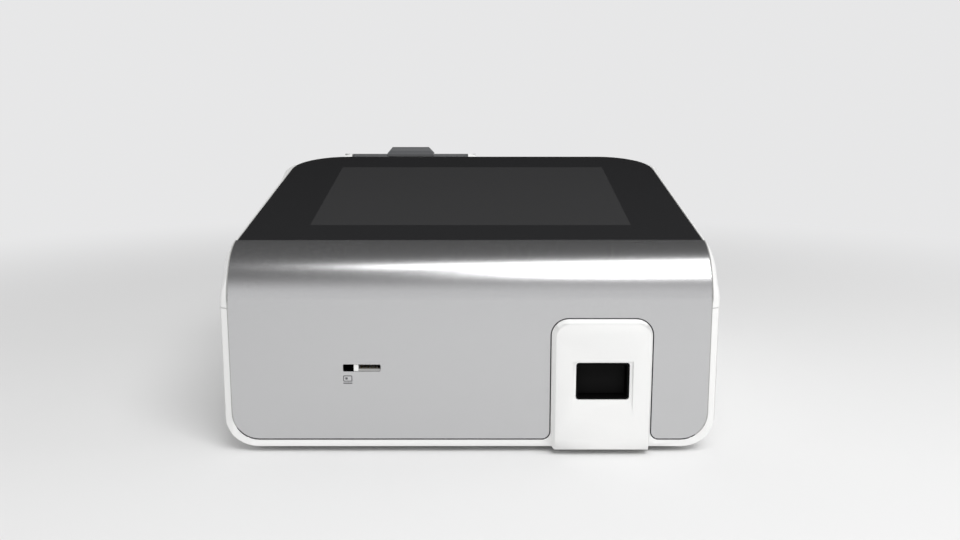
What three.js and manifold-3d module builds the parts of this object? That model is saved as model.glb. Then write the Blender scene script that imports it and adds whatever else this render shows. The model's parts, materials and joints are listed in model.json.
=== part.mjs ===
// A bench-top rapid test reader: a moulded white case in two halves, a silver front panel that rolls
// up to a black touch glass, a motor-driven cartridge tray behind a raised port, and a receipt
// printer under a hinged lid at the rear. Millimetres, +Z up, -Y is the front, the floor is at z = 0
// and the origin is the middle of the bottom of the whole instrument.

import * as THREE from "three";
import { mergeVertices } from "three/addons/utils/BufferGeometryUtils.js";
import Module from "manifold-3d";

const wasm = await Module();
wasm.setup();

const { cos, sin, tan, sqrt, acos, atan2, hypot, max, PI } = Math;
const degrees = PI / 180;

// Clearances

const fit = {
  gap: 0.3, // between pieces that touch or are cut by one another
  seam: 0.4, // the fine dark line round the silver panel
  running: 0.4, // round a piece that turns or slides
  backlash: 0.3, // taken off each tooth
  overrun: 3, // how far a cutting form runs past what it cuts
};

const facets = { roll: 9, corner: 5, edge: 2, small: 2, rod: 14, wheel: 28, well: 9 };

// Driving dimensions, one group for each sub-assembly

const foot = { height: 3, diameter: 14, seat: 1, inset: 29.5, front: 22, rear: 25 };

const port = {
  fromSide: 55.5,
  proud: 6,
  cutWidth: 48.3,
  top: 65.5,
  cutRadius: 8.5,
  flareRadius: 3.6,
  faceWidth: 43.7,
  faceMargin: 1.6,
  faceRadius: 6,
  draft: 1.3,
  chin: 6,
  chinSetBack: 1.4,
  wall: 2.2,
  mouthWidth: 25,
  mouthHeight: 17.85,
  mouthSill: 27.6,
  mouthRadius: 1.2,
  scoopDepth: 0.9,
  scoopSide: 1.6,
  scoopAbove: 1.2,
  scoopFade: 7,
  linerWall: 0.8,
  linerLength: 14,
};

const shell = {
  rim: 5.5,
  wall: 2.5,
  edge: 5,
  frontHeight: 71.3,
  rollRadius: 25.4,
  tilt: 10 * degrees,
  bottomRadius: 16.5,
  draft: 0.6,
  rearCornerRadius: 22,
  rearTopRadius: 8,
  deckSlope: 6 * degrees,
  partingAbovePort: 4.5,
  lip: 1.2,
  lipHeight: 2,
  lipRoot: 3,
};

const panel = { thickness: 1.6, inset: 4.9, bottom: 6.7, bottomRadius: 12.4 };

const glass = {
  sideBorder: 31,
  frontBorder: 24.1,
  rearBorder: 29.1,
  thickness: 1.8,
  cornerRadius: 31,
  frontRadius: 0.6,
};

const tablet = { relief: 0.1, depth: 16 };

const display = {
  width: 162,
  height: 121.5,
  moduleSide: 10.5,
  moduleEnd: 9.75,
  moduleThickness: 5.6,
  windowMargin: 3,
  bracketSheet: 1.2,
  bracketBorder: 12,
  bracketLip: 5,
  ribbonWidth: 30,
  ribbonThickness: 0.4,
};

const slot = {
  fromSide: 66.7,
  width: 17.7,
  height: 3.5,
  sill: 39.8,
  radius: 0.5,
  leftCell: 5,
  divider: 1.9,
  lip: 0.4,
  ledge: 0.9,
  channelInset: 0.5,
  flange: 1.6,
  flangeThickness: 1,
  length: 9,
  boardWidth: 28,
  boardLength: 24,
  boardThickness: 1.6,
  boardDrop: 5.2,
  socketHeight: 7,
  socketMargin: 4,
};

const gearing = { module: 0.8, addendumShare: 0.6, dedendumShare: 0.9, pressure: 20 * degrees };

const tray = {
  width: 22,
  height: 8.5,
  length: 160.8,
  setBack: 6.7,
  travel: 70,
  lift: 0.3,
  pocketWall: 1.2,
  pocketLength: 71,
  pocketDepth: 4.5,
  pocketFront: 4,
  pocketRadius: 1.5,
  windowWidth: 8,
  windowLength: 16,
  windowFromFront: 48,
  tailWall: 2.5,
  tailDepth: 5.5,
  tailGap: 5,
  frontThickness: 2.4,
  frontClearance: 0.6,
  frontRadius: 2,
  clipThickness: 0.4,
  clipWidth: 8,
  clipBow: 1.2,
  clipHeight: 3.6,
};

const rack = { thickness: 3.2, height: 3, lift: 4.5, lead: 4 };

const drive = {
  behindOptics: 2,
  pinionTeeth: 14,
  wheelTeeth: 36,
  motorTeeth: 12,
  pinionOverlap: 0.3,
  wheelThickness: 2.4,
  hubDiameter: 7,
  axleDiameter: 3,
  axleHeadDiameter: 5.4,
  axleHead: 1.1,
  motorDiameter: 25,
  motorHeight: 17.5,
  motorFlange: 1,
  motorEar: 4.5,
  shaftDiameter: 2,
  motorPinionHeight: 2.8,
};

const bed = {
  thickness: 2.5,
  underside: 24,
  ribHeight: 2.2,
  ribWidth: 2,
  ribInset: 2,
  tailLength: 2,
  margin: 7,
  wall: 2,
  keeper: 1.5,
  gearLeft: 56,
  gearFront: 30,
  gearRear: 26,
  postDiameter: 7,
  postFromRear: 29,
};

const optics = {
  width: 30,
  fromTrayFront: 55.8,
  length: 52,
  overTray: 5.5,
  height: 27,
  boreDiameter: 8,
  legWidth: 3,
  legLength: 4,
  lensDiameter: 9,
  lensThickness: 3,
  lensRecess: 0.8,
  ledDiameter: 5,
  ledLength: 7,
  ledHeight: 15,
  filterDiameter: 10,
  filterThickness: 1.1,
  filterDepth: 4,
  boardThickness: 1.6,
  boardInset: 1.5,
  sensorSize: 5,
  sensorHeight: 3,
};

const homeSensor = { width: 5, length: 9, height: 9, slotWidth: 3, slotDepth: 5, fromTail: 14 };

const board = {
  switchGap: 5.5,
  rearGap: 4,
  bedGap: 12.5,
  thickness: 1.6,
  standoff: 8.5,
  standoffDiameter: 7,
  screwInset: 5,
  screwHead: 5.4,
  screwHeadHeight: 2,
  screwDiameter: 2.6,
  screwGrip: 4,
  chipHeight: 3,
};

const rear = {
  dcGap: 0.8,
  dcWidth: 9,
  dcHeight: 11,
  dcLength: 14,
  dcBore: 6,
  dcPin: 2,
  dcBoreDepth: 9,
  usbX: 30,
  usbWidth: 14.5,
  usbHeight: 7.2,
  usbLength: 17.5,
  usbWall: 0.9,
  usbTongue: 1.9,
  usbDepth: 9,
  usbSpacing: 20,
  lanX: -16,
  lanWidth: 16,
  lanHeight: 13.6,
  lanLength: 21,
  lanPlugWidth: 11.8,
  lanPlugHeight: 7.4,
  lanPlugSill: 3,
  lanPlugDepth: 12,
  switchFromSide: 29.5,
  switchZ: 32,
  switchWidth: 13,
  switchHeight: 19.4,
  switchDepth: 14,
  bezelWidth: 15,
  bezelHeight: 21.4,
  bezelThickness: 2,
  bezelRecess: 2.4,
  padMargin: 3,
  rockerWidth: 8.6,
  rockerHeight: 14,
  rockerSwing: 12 * degrees,
  rockerDepth: 4.4,
  ventSlots: 9,
  ventWidth: 2,
  ventHeight: 24,
  ventPitch: 5,
  ventFromSide: 29.5,
  ventZ: 24,
};

const speaker = {
  fromSide: 45.5,
  fromFront: 50.5,
  diameter: 28,
  height: 5.5,
  coneDiameter: 22,
  coneDepth: 2,
  rimHeight: 2,
  rimWall: 1.4,
  slots: 5,
  slotPitch: 4,
  slotWidth: 1.6,
};

// Set back from the tablet's rear edge, and a rise above or a drop below the crest of the deck
const printer = {
  sideGap: 30,
  topCheek: 4.75,
  baseCheek: 7.75,
  lidSetBack: 5.2,
  lidRise: 6.9,
  lidSlope: 13 * degrees,
  openingGap: 0.45,
  rollDiameter: 47,
  rollWidth: 57.5,
  rollCore: 13,
  wellSetBack: 10.1,
  rollTopDrop: 6.8,
  wellClearance: 1.5,
  wellWall: 1.6,
  wellSide: 1.2,
  wellFrontDrop: 16.3,
  wellRearDrop: 17.3,
  earWidth: 10,
  earThickness: 2.4,
  rearBar: 3,
  rearMargin: 4.2,
  cheekRadius: 4,
};

const lid = {
  overRoll: 9.5,
  thickness: 2.4,
  lipDepth: 3.4,
  lipThickness: 1.6,
  skirt: 5,
  skirtThickness: 1.5,
  tail: 2.6,
  hingeBehindWell: 3.47,
  hingeDrop: 3.1,
  pinDiameter: 3,
  knuckleDiameter: 6,
  knuckleLength: 9,
  knuckleInset: 4,
  pinEngagement: 2,
  armThickness: 1.4,
  armWidth: 7,
  armInset: 0.7,
};

const latch = {
  baseWidth: 30.6,
  topWidth: 23.8,
  topRise: 11.1,
  topSetBack: 7.9,
  length: 19,
  plate: 2,
  hingeInset: 3.4,
  hingeDrop: 1.6,
  pinDiameter: 2,
  earThickness: 1.6,
  crown: 4.5,
  fingerDepth: 1.6,
};

const platen = {
  setBack: 9.7,
  drop: 4.8,
  diameter: 12,
  shaftDiameter: 4,
  gearTeeth: 18,
  gearWidth: 2.2,
};

const printFrame = {
  sheet: 1.2,
  sideGap: 0.8,
  wallForward: 3.8,
  wallDrop: 8.3,
  baseDrop: 20.7,
  rearSetBack: 15.7,
  sideDrop: 3.3,
  toeDrop: 37.3,
  notchWidth: 5,
  lugOverlap: 4.4,
  lugThickness: 2,
  lugSetBack: 7.7,
  idlerPin: 3,
  headThickness: 1.4,
  headDrop: 0.3,
  headHeight: 18.6,
  headInset: 1.25,
  sinkThickness: 1.6,
  sinkHeight: 6.6,
  springDiameter: 4,
  springRise: 2.8,
  springX: 18,
  motorDiameter: 12,
  motorLength: 17,
  motorTeeth: 12,
  motorAngle: 225 * degrees,
  motorShaft: 2,
};

const screw = {
  inset: 13.5,
  front: 16,
  rear: 22,
  headDiameter: 5.6,
  headHeight: 2.4,
  diameter: 3,
  length: 22,
  bossDiameter: 9.4,
  seatDrop: 9,
  wellDiameter: 6.4,
  upperBoss: 16,
};

// Colours and finishes

const finish = {
  white: { color: 0xf1f1ef, roughness: 0.35, metalness: 0 },
  silver: { color: 0xc1c1c1, roughness: 0.3, metalness: 0.6 },
  black: { color: 0x161617, roughness: 0.4, metalness: 0 },
  glass: { color: 0x26272a, roughness: 0.08, metalness: 0 },
  grey: { color: 0x4a4b4d, roughness: 0.45, metalness: 0 },
  steel: { color: 0xb4b6b8, roughness: 0.35, metalness: 1 },
  brass: { color: 0xc9a85a, roughness: 0.35, metalness: 1 },
  acetal: { color: 0xe6e3d8, roughness: 0.5, metalness: 0 },
  rubber: { color: 0x1d1d1e, roughness: 0.9, metalness: 0 },
  circuit: { color: 0x1f5b3a, roughness: 0.5, metalness: 0 },
  paper: { color: 0xf6f5f0, roughness: 0.9, metalness: 0 },
  film: { color: 0xb0702a, roughness: 0.4, metalness: 0 },
  lens: { color: 0xcfe3ea, roughness: 0.05, metalness: 0 },
};

// Directions and frames

const axisX = new THREE.Vector3(1, 0, 0);
const axisY = new THREE.Vector3(0, 1, 0);
const axisZ = new THREE.Vector3(0, 0, 1);

function frameOf(first, second, third, x, y, z) {
  return new THREE.Matrix4().makeBasis(first, second, third).setPosition(x, y, z);
}

// Outlines: corners [x, y, radius, steps], each rounded by its own radius

function outlinePoints(corners) {
  const points = [];
  corners.forEach(([x, y, radius = 0, steps = facets.corner], i) => {
    const here = new THREE.Vector2(x, y);
    const before = corners.at(i - 1);
    const after = corners[(i + 1) % corners.length];
    if (radius <= 0) {
      points.push(here);
      return;
    }
    const back = new THREE.Vector2(before[0] - x, before[1] - y).normalize();
    const ahead = new THREE.Vector2(after[0] - x, after[1] - y).normalize();
    const half = acos(back.dot(ahead)) / 2;
    const centre = back.clone().add(ahead).normalize();
    centre.multiplyScalar(radius / sin(half)).add(here);
    const from = back.multiplyScalar(radius / tan(half)).add(here).sub(centre);
    const to = ahead.multiplyScalar(radius / tan(half)).add(here).sub(centre);
    const turn = atan2(from.cross(to), from.dot(to));
    for (let k = 0; k <= steps; k++) {
      const angle = (turn * k) / steps;
      points.push(from.clone().rotateAround(new THREE.Vector2(), angle).add(centre));
    }
  });
  return points;
}

function outline(corners) {
  return new THREE.Shape(outlinePoints(corners));
}

function rectangle(x0, x1, y0, y1, radius = 0, steps = facets.small) {
  return outline([
    [x0, y0, radius, steps],
    [x1, y0, radius, steps],
    [x1, y1, radius, steps],
    [x0, y1, radius, steps],
  ]);
}

function circle(x, y, radius, sides = facets.rod) {
  const points = [];
  for (let k = 0; k < sides; k++) {
    const angle = (2 * PI * k) / sides;
    points.push(new THREE.Vector2(x + radius * cos(angle), y + radius * sin(angle)));
  }
  return new THREE.Shape(points);
}

// A band of one thickness along a line of points, for sheet and film
function band(points, thickness) {
  const left = [];
  const right = [];
  points.forEach((point, i) => {
    const before = points[max(i - 1, 0)];
    const after = points[i + 1] ?? point;
    const along = after.clone().sub(before).normalize();
    const across = new THREE.Vector2(-along.y, along.x).multiplyScalar(thickness / 2);
    left.push(point.clone().add(across));
    right.unshift(point.clone().sub(across));
  });
  return new THREE.Shape([...left, ...right]);
}

// Solids

function solid(geometry) {
  const bare = geometry.clone();
  bare.deleteAttribute("normal");
  bare.deleteAttribute("uv");
  const merged = mergeVertices(bare);
  return new wasm.Manifold(
    new wasm.Mesh({
      numProp: 3,
      vertProperties: new Float32Array(merged.attributes.position.array),
      triVerts: new Uint32Array(merged.index.array),
    }),
  );
}

// A drawn shape carried a length along the third direction of a frame, with rounded end edges
function carried(shape, length, frame, edge = 0, steps = facets.edge) {
  const geometry = new THREE.ExtrudeGeometry(shape, {
    depth: length - 2 * edge,
    bevelEnabled: edge > 0,
    bevelThickness: edge,
    bevelSize: edge,
    bevelOffset: -edge,
    bevelSegments: steps,
    curveSegments: facets.corner,
  });
  geometry.translate(0, 0, edge);
  return solid(geometry.applyMatrix4(frame));
}

// A shape drawn in (y, z), from one x to another
function alongX(shape, x0, x1, edge, steps) {
  return carried(shape, x1 - x0, frameOf(axisY, axisZ, axisX, x0, 0, 0), edge, steps);
}

// A shape drawn in (x, z), from one y to another
function alongY(shape, y0, y1, edge, steps) {
  const backward = axisY.clone().negate();
  return carried(shape, y1 - y0, frameOf(axisX, axisZ, backward, 0, y1, 0), edge, steps);
}

// A shape drawn in (x, y), from one z to another
function alongZ(shape, z0, z1, edge, steps) {
  return carried(shape, z1 - z0, frameOf(axisX, axisY, axisZ, 0, 0, z0), edge, steps);
}

function block(x0, x1, y0, y1, z0, z1) {
  const geometry = new THREE.BoxGeometry(x1 - x0, y1 - y0, z1 - z0);
  return solid(geometry.translate((x0 + x1) / 2, (y0 + y1) / 2, (z0 + z1) / 2));
}

function rodX(x0, x1, y, z, diameter, sides) {
  return alongX(circle(y, z, diameter / 2, sides), x0, x1);
}

function rodY(x, y0, y1, z, diameter, sides) {
  return alongY(circle(x, z, diameter / 2, sides), y0, y1);
}

function rodZ(x, y, z0, z1, diameter, sides) {
  return alongZ(circle(x, y, diameter / 2, sides), z0, z1);
}

function joined(...solids) {
  return solids.reduce((whole, next) => whole.add(next));
}

const instrument = new THREE.Group();

function piece(name, form, look) {
  const mesh = form.getMesh();
  const geometry = new THREE.BufferGeometry();
  geometry.setAttribute("position", new THREE.BufferAttribute(mesh.vertProperties, 3));
  geometry.setIndex(new THREE.BufferAttribute(mesh.triVerts, 1));
  geometry.computeVertexNormals();
  const material = new THREE.MeshStandardMaterial({ ...look, flatShading: true });
  const made = new THREE.Mesh(geometry, material);
  made.name = name;
  instrument.add(made);
}

// Places that many pieces share

const glassWidth = display.width + 2 * glass.sideBorder;
const glassLength = glass.frontBorder + display.height + glass.rearBorder;
const shellWidth = glassWidth + 2 * shell.rim;
const lidWidth = printer.rollWidth + 2 * lid.overRoll;
const wellRadius = printer.rollDiameter / 2 + printer.wellClearance;
const rollSetBack = printer.wellSetBack + printer.wellWall + wellRadius;
const hingeSetBack = rollSetBack + wellRadius + lid.hingeBehindWell;
const halfWidth = shellWidth / 2;
const tabletDepth =
  shell.rollRadius * (1 - sin(shell.tilt)) +
  (glassLength + shell.edge) * cos(shell.tilt) +
  shell.edge * sin(shell.tilt);
const deckDepth =
  hingeSetBack + lid.tail + 3 * fit.running + printer.rearBar + printer.rearMargin;
const shellDepth = tabletDepth + deckDepth;
const rearY = (shellDepth + port.proud) / 2;
const frontY = rearY - shellDepth;
const panelHalf = halfWidth - panel.inset;
const portX = halfWidth - port.fromSide;
const slotX = slot.fromSide - halfWidth;
const printerX = printer.sideGap + lidWidth / 2 + printer.baseCheek - halfWidth;
const switchX = halfWidth - rear.switchFromSide;
const ventX = rear.ventFromSide - halfWidth;
const footX = halfWidth - foot.inset;
const screwX = halfWidth - screw.inset;
const speakerX = speaker.fromSide - halfWidth;
const speakerY = frontY + speaker.fromFront;
const bottomZ = foot.height;
const floorZ = bottomZ + shell.wall;
const partingZ = port.top + shell.partingAbovePort;
const screwSeatZ = partingZ - screw.seatDrop;
const rollY = frontY + shell.rollRadius;
const rollZ = bottomZ + shell.frontHeight;
const crestY = rollY - shell.rollRadius * sin(shell.tilt);
const crestZ = rollZ + shell.rollRadius * cos(shell.tilt);
const skinDepth = panel.thickness + fit.gap + shell.wall;
const glassFloor = glass.thickness + fit.gap;

// The tilted top: a length back from the crest and a rise above the glass
function onTop(along, rise) {
  return new THREE.Vector2(
    crestY + along * cos(shell.tilt) - rise * sin(shell.tilt),
    crestZ + along * sin(shell.tilt) + rise * cos(shell.tilt),
  );
}

function topAt(y, depth) {
  return crestZ + ((y - crestY) * sin(shell.tilt) - depth) / cos(shell.tilt);
}

const meet = onTop(glassLength - glass.cornerRadius, 0);
const slabBack = onTop(glassLength + shell.edge, -shell.edge);

// The printer's places
const lidFrontY = slabBack.x + printer.lidSetBack;
const lidFrontZ = meet.y + printer.lidRise;
const lidHingeY = slabBack.x + hingeSetBack;
const paperY = slabBack.x + rollSetBack;
const paperZ = meet.y - printer.rollTopDrop - printer.rollDiameter / 2;
const latchTopY = slabBack.x + latch.topSetBack;
const latchTopZ = meet.y + latch.topRise;
const platenY = slabBack.x + platen.setBack;
const platenZ = meet.y - platen.drop;
const frameWallY = slabBack.x - printFrame.wallForward;
const frameWallZ = meet.y - printFrame.wallDrop;
const frameBaseZ = meet.y - printFrame.baseDrop;
const frameRearY = slabBack.x + printFrame.rearSetBack;
const frameSideZ = meet.y - printFrame.sideDrop;
const frameToeZ = meet.y - printFrame.toeDrop;
const frameLugY = slabBack.x + printFrame.lugSetBack;
const headHalf = printer.rollWidth / 2 - printFrame.headInset;
const headTopZ = meet.y - printFrame.headDrop;
const headBottomZ = headTopZ - printFrame.headHeight;
const sinkTopZ = headBottomZ + printFrame.sinkHeight;
const headSpringZ = headBottomZ + printFrame.springRise;

function deckAt(y, depth) {
  return meet.y - (y - meet.x) * tan(shell.deckSlope) - depth / cos(shell.deckSlope);
}

function lidPlaneAt(y, depth) {
  return (
    lidFrontZ -
    (y - lidFrontY) * tan(printer.lidSlope) -
    depth / cos(printer.lidSlope)
  );
}

// A shape drawn in (x, along), from one rise above the tilted top to another
function onTopPlane(shape, rise0, rise1, edge, steps) {
  const along = new THREE.Vector3(0, cos(shell.tilt), sin(shell.tilt));
  const up = new THREE.Vector3(0, -sin(shell.tilt), cos(shell.tilt));
  const start = onTop(0, rise0);
  const frame = frameOf(axisX, along, up, 0, start.x, start.y);
  return carried(shape, rise1 - rise0, frame, edge, steps);
}

// The case

function sideOutline(inset, skin) {
  const meetY =
    meet.x +
    (skin / cos(shell.tilt) - inset / cos(shell.deckSlope)) /
      (tan(shell.tilt) + tan(shell.deckSlope));
  const front = frontY + skin;
  const back = rearY - inset;
  return outline([
    [front, bottomZ + inset],
    [back, bottomZ + inset],
    [back, deckAt(back, inset), shell.rearTopRadius - inset],
    [meetY, topAt(meetY, skin)],
    [front, topAt(front, skin), shell.rollRadius - skin, facets.roll],
  ]);
}

// The whole outer form of the case, or the same form set in by a wall and, at the front and top, a skin
function caseForm(inset, skin) {
  const half = halfWidth - inset;
  const edge = shell.edge - inset;
  const body = alongX(sideOutline(inset, skin), -half, half, edge);
  const slabHalf = half - tablet.relief;
  const slabEnd = glassLength + shell.edge - inset;
  const slabRadius = glass.cornerRadius + shell.edge - inset;
  const slabStart = glassLength - 2 * glass.cornerRadius;
  const slab = onTopPlane(
    outline([
      [-slabHalf, slabStart],
      [slabHalf, slabStart],
      [slabHalf, slabEnd, slabRadius, facets.roll],
      [-slabHalf, slabEnd, slabRadius, facets.roll],
    ]),
    -tablet.depth,
    -skin,
    edge,
  );
  const high = topAt(rearY, 0);
  const radius = shell.bottomRadius - inset;
  const front = alongY(
    outline([
      [-half + shell.draft, bottomZ + inset, radius],
      [half - shell.draft, bottomZ + inset, radius],
      [half, partingZ],
      [half + fit.overrun, high],
      [-half - fit.overrun, high],
      [-half, partingZ],
    ]),
    frontY - fit.overrun,
    rearY + fit.overrun,
  );
  const corner = shell.rearCornerRadius - inset;
  const plan = alongZ(
    outline([
      [-half, frontY - fit.overrun],
      [half, frontY - fit.overrun],
      [half, rearY - inset, corner],
      [-half, rearY - inset, corner],
    ]),
    0,
    high,
  );
  return body.add(slab).intersect(front).intersect(plan);
}

// The skin of the front and its roll, between two depths below the outer face
function frontBand(depth0, depth1, half) {
  const base = panel.bottom - fit.overrun;
  const outer = outlinePoints([
    [frontY + depth0, base],
    [frontY + depth0, topAt(frontY + depth0, depth0), shell.rollRadius - depth0, facets.roll],
    [crestY + fit.overrun, topAt(crestY + fit.overrun, depth0)],
  ]).slice(0, -1);
  const inner = outlinePoints([
    [frontY + depth1, base],
    [frontY + depth1, topAt(frontY + depth1, depth1), shell.rollRadius - depth1, facets.roll],
    [crestY + fit.overrun, topAt(crestY + fit.overrun, depth1)],
  ]).slice(0, -1);
  return alongX(new THREE.Shape([...outer, ...inner.reverse()]), -half, half);
}

// The panel's outline in the front view, grown by a margin, with the port cut out of its lower edge
function panelOutline(margin) {
  const half = panelHalf + margin;
  const base = panel.bottom - margin;
  const cutHalf = port.cutWidth / 2 - margin;
  const left = portX - cutHalf;
  const right = portX + cutHalf;
  const cutTop = port.top - margin;
  const flare = port.flareRadius + margin;
  const cut = port.cutRadius - margin;
  const radius = panel.bottomRadius + margin;
  const high = crestZ + fit.overrun;
  return outline([
    [-half, base, radius],
    [left, base, flare],
    [left, cutTop, cut],
    [right, cutTop, cut],
    [right, base, flare],
    [half, base, radius],
    [half, high],
    [-half, high],
  ]);
}

function panelForm(margin, depth0, depth1) {
  const half = panelHalf + margin;
  const front = alongY(panelOutline(margin), frontY - fit.overrun, crestY + fit.overrun);
  return frontBand(depth0, depth1, half + fit.overrun).intersect(front);
}

function slotOpening(margin, y0, y1) {
  const half = slot.width / 2 + margin;
  const radius = slot.radius + margin;
  const sill = slot.sill - margin;
  const lintel = slot.sill + slot.height + margin;
  const shape = rectangle(slotX - half, slotX + half, sill, lintel, radius);
  return alongY(shape, y0, y1);
}

function buildFrontPanel() {
  const cut = slotOpening(0, frontY - fit.overrun, frontY + skinDepth);
  piece("front_panel", panelForm(0, 0, panel.thickness).subtract(cut), finish.silver);
}

// The port: a raised block with drafted sides, a shallow scoop round its mouth and a chin set back

const portFrontY = frontY - port.proud;
const mouthLeft = portX - port.mouthWidth / 2;
const mouthRight = portX + port.mouthWidth / 2;
const mouthTop = port.mouthSill + port.mouthHeight;

function portBlock() {
  const face = port.top - port.faceMargin;
  const root = port.faceWidth / 2 + port.draft;
  const radius = port.faceRadius + port.draft;
  const shape = outline([
    [portX - root, bottomZ - port.draft],
    [portX + root, bottomZ - port.draft],
    [portX + root, face + port.draft, radius],
    [portX - root, face + port.draft, radius],
  ]);
  const depth = port.proud + skinDepth;
  const geometry = new THREE.ExtrudeGeometry(shape, {
    depth: depth - port.proud,
    bevelThickness: port.proud,
    bevelSize: port.draft,
    bevelOffset: -port.draft,
    bevelSegments: 1,
  });
  const backward = axisY.clone().negate();
  const raised = solid(
    geometry.applyMatrix4(frameOf(axisX, axisZ, backward, 0, frontY + depth - port.proud, 0)),
  );
  const behind = frontY + skinDepth;
  const trim = alongX(
    outline([
      [portFrontY, bottomZ + port.chin],
      [portFrontY + port.chinSetBack, bottomZ],
      [behind, bottomZ],
      [behind, port.top + fit.overrun],
      [portFrontY, port.top + fit.overrun],
    ]),
    portX - port.cutWidth,
    portX + port.cutWidth,
  );
  return raised.intersect(trim);
}

function portScoop() {
  const top = mouthTop + port.scoopAbove;
  const bottom = port.mouthSill - port.scoopFade;
  const side = alongX(
    outline([
      [portFrontY - fit.overrun, bottom],
      [portFrontY, bottom],
      [portFrontY + port.scoopDepth, port.mouthSill],
      [portFrontY + port.scoopDepth, mouthTop],
      [portFrontY, top],
      [portFrontY - fit.overrun, top],
    ]),
    mouthLeft - port.scoopSide,
    mouthRight + port.scoopSide,
  );
  return side;
}

function mouthCut(y0, y1) {
  const shape = rectangle(mouthLeft, mouthRight, port.mouthSill, mouthTop, port.mouthRadius);
  return alongY(shape, y0, y1);
}

// The hollow behind the port's face, with a collar left round the mouth
function portHollow() {
  const half = port.faceWidth / 2 - port.wall;
  const high = port.top - port.faceMargin - port.wall;
  const y0 = portFrontY + port.scoopDepth + port.wall;
  const y1 = frontY + skinDepth + fit.overrun;
  const left = portX - half;
  const right = portX + half;
  const space = block(left, right, y0, y1, floorZ + port.wall, high);
  const collar = block(
    mouthLeft - port.wall,
    mouthRight + port.wall,
    y0 - fit.overrun,
    y1 + fit.overrun,
    port.mouthSill - port.wall,
    mouthTop + port.wall,
  );
  return space.subtract(collar);
}

function buildPortLiner() {
  const y0 = linerFront;
  const y1 = y0 + port.linerLength;
  const outer = rectangle(
    mouthLeft + fit.gap,
    mouthRight - fit.gap,
    port.mouthSill + fit.gap,
    mouthTop - fit.gap,
    port.mouthRadius,
  );
  const wall = fit.gap + port.linerWall;
  const inner = rectangle(
    mouthLeft + wall,
    mouthRight - wall,
    port.mouthSill + wall,
    mouthTop - wall,
    port.mouthRadius / 2,
  );
  const tube = alongY(outer, y0, y1);
  const bore = alongY(inner, y0 - fit.overrun, y1 + fit.overrun);
  piece("port_liner", tube.subtract(bore), finish.black);
}

// Screws that close the case, and the bosses that they pass through

const screwPlaces = [-1, 1].flatMap((side) =>
  [frontY + skinDepth + screw.front, rearY - screw.rear].map((y) => [side * screwX, y]),
);

function screwBosses(z0, z1) {
  return joined(...screwPlaces.map(([x, y]) => rodZ(x, y, z0, z1, screw.bossDiameter)));
}

function screwHoles(z0, z1, diameter) {
  return joined(...screwPlaces.map(([x, y]) => rodZ(x, y, z0, z1, diameter)));
}

const screwHole = screw.diameter + 2 * fit.gap;

function buildHousingScrews() {
  const seat = screwSeatZ - fit.gap;
  screwPlaces.forEach(([x, y], n) => {
    const made = joined(
      rodZ(x, y, seat - screw.headHeight, seat, screw.headDiameter),
      rodZ(x, y, seat - screw.headHeight / 2, seat + screw.length, screw.diameter),
    );
    piece("housing_screw_" + (n + 1), made, finish.steel);
  });
}

// Feet

const footPlaces = {
  foot_front_left: [-footX, frontY + foot.front],
  foot_front_right: [footX, frontY + foot.front],
  foot_rear_left: [-footX, rearY - foot.rear],
  foot_rear_right: [footX, rearY - foot.rear],
};

function buildFeet() {
  const radius = foot.diameter / 2;
  const top = foot.height + foot.seat - fit.gap;
  for (const [name, [x, y]] of Object.entries(footPlaces)) {
    const profile = outlinePoints([
      [0, 0],
      [radius - foot.seat, 0],
      [radius, foot.height / 2],
      [radius, top],
      [0, top],
    ]);
    const turned = new THREE.LatheGeometry(profile, facets.rod).rotateX(PI / 2);
    piece(name, solid(turned.translate(x, y, 0)), finish.rubber);
  }
}

function footSeats() {
  const width = foot.diameter + 2 * fit.gap;
  return joined(
    ...Object.values(footPlaces).map(([x, y]) =>
      rodZ(x, y, bottomZ - fit.overrun, bottomZ + foot.seat, width),
    ),
  );
}

// Cartridge tray: a long sled with a pocket in front, driven by a rack at its left side

const trayLeft = portX - tray.width / 2;
const trayRight = portX + tray.width / 2;
const trayFront = portFrontY + tray.setBack;
const trayRear = trayFront + tray.length;
const trayFloor = port.mouthSill + fit.gap + port.linerWall + tray.lift;
const trayTop = trayFloor + tray.height;
const pocketY0 = trayFront + tray.pocketFront;
const pocketY1 = pocketY0 + tray.pocketLength;
const pocketFloor = trayTop - tray.pocketDepth;

function buildTray() {
  const left = trayLeft + tray.pocketWall;
  const right = trayRight - tray.pocketWall;
  const over = trayTop + fit.overrun;
  const sled = block(trayLeft, trayRight, trayFront, trayRear, trayFloor, trayTop);
  const pocketShape = rectangle(left, right, pocketY0, pocketY1, tray.pocketRadius);
  const pocket = alongZ(pocketShape, pocketFloor, over);
  const windowY = trayFront + tray.windowFromFront;
  const halfWindow = tray.windowWidth / 2;
  const reading = block(
    portX - halfWindow,
    portX + halfWindow,
    windowY,
    windowY + tray.windowLength,
    trayFloor - fit.overrun,
    over,
  );
  const tail = block(
    trayLeft + tray.tailWall,
    trayRight - tray.tailWall,
    pocketY1 + tray.tailGap,
    trayRear - tray.tailWall,
    trayTop - tray.tailDepth,
    over,
  );
  // The raised front closes the mouth when the tray is in
  const frontTop = mouthTop - fit.gap - port.linerWall - tray.frontClearance;
  const front = alongY(
    outline([
      [trayLeft, trayFloor],
      [trayRight, trayFloor],
      [trayRight, frontTop, tray.frontRadius],
      [trayLeft, frontTop, tray.frontRadius],
    ]),
    trayFront,
    trayFront + tray.frontThickness,
  );
  piece("cartridge_tray", sled.add(front).subtract(joined(pocket, reading, tail)), finish.black);
}

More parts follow.
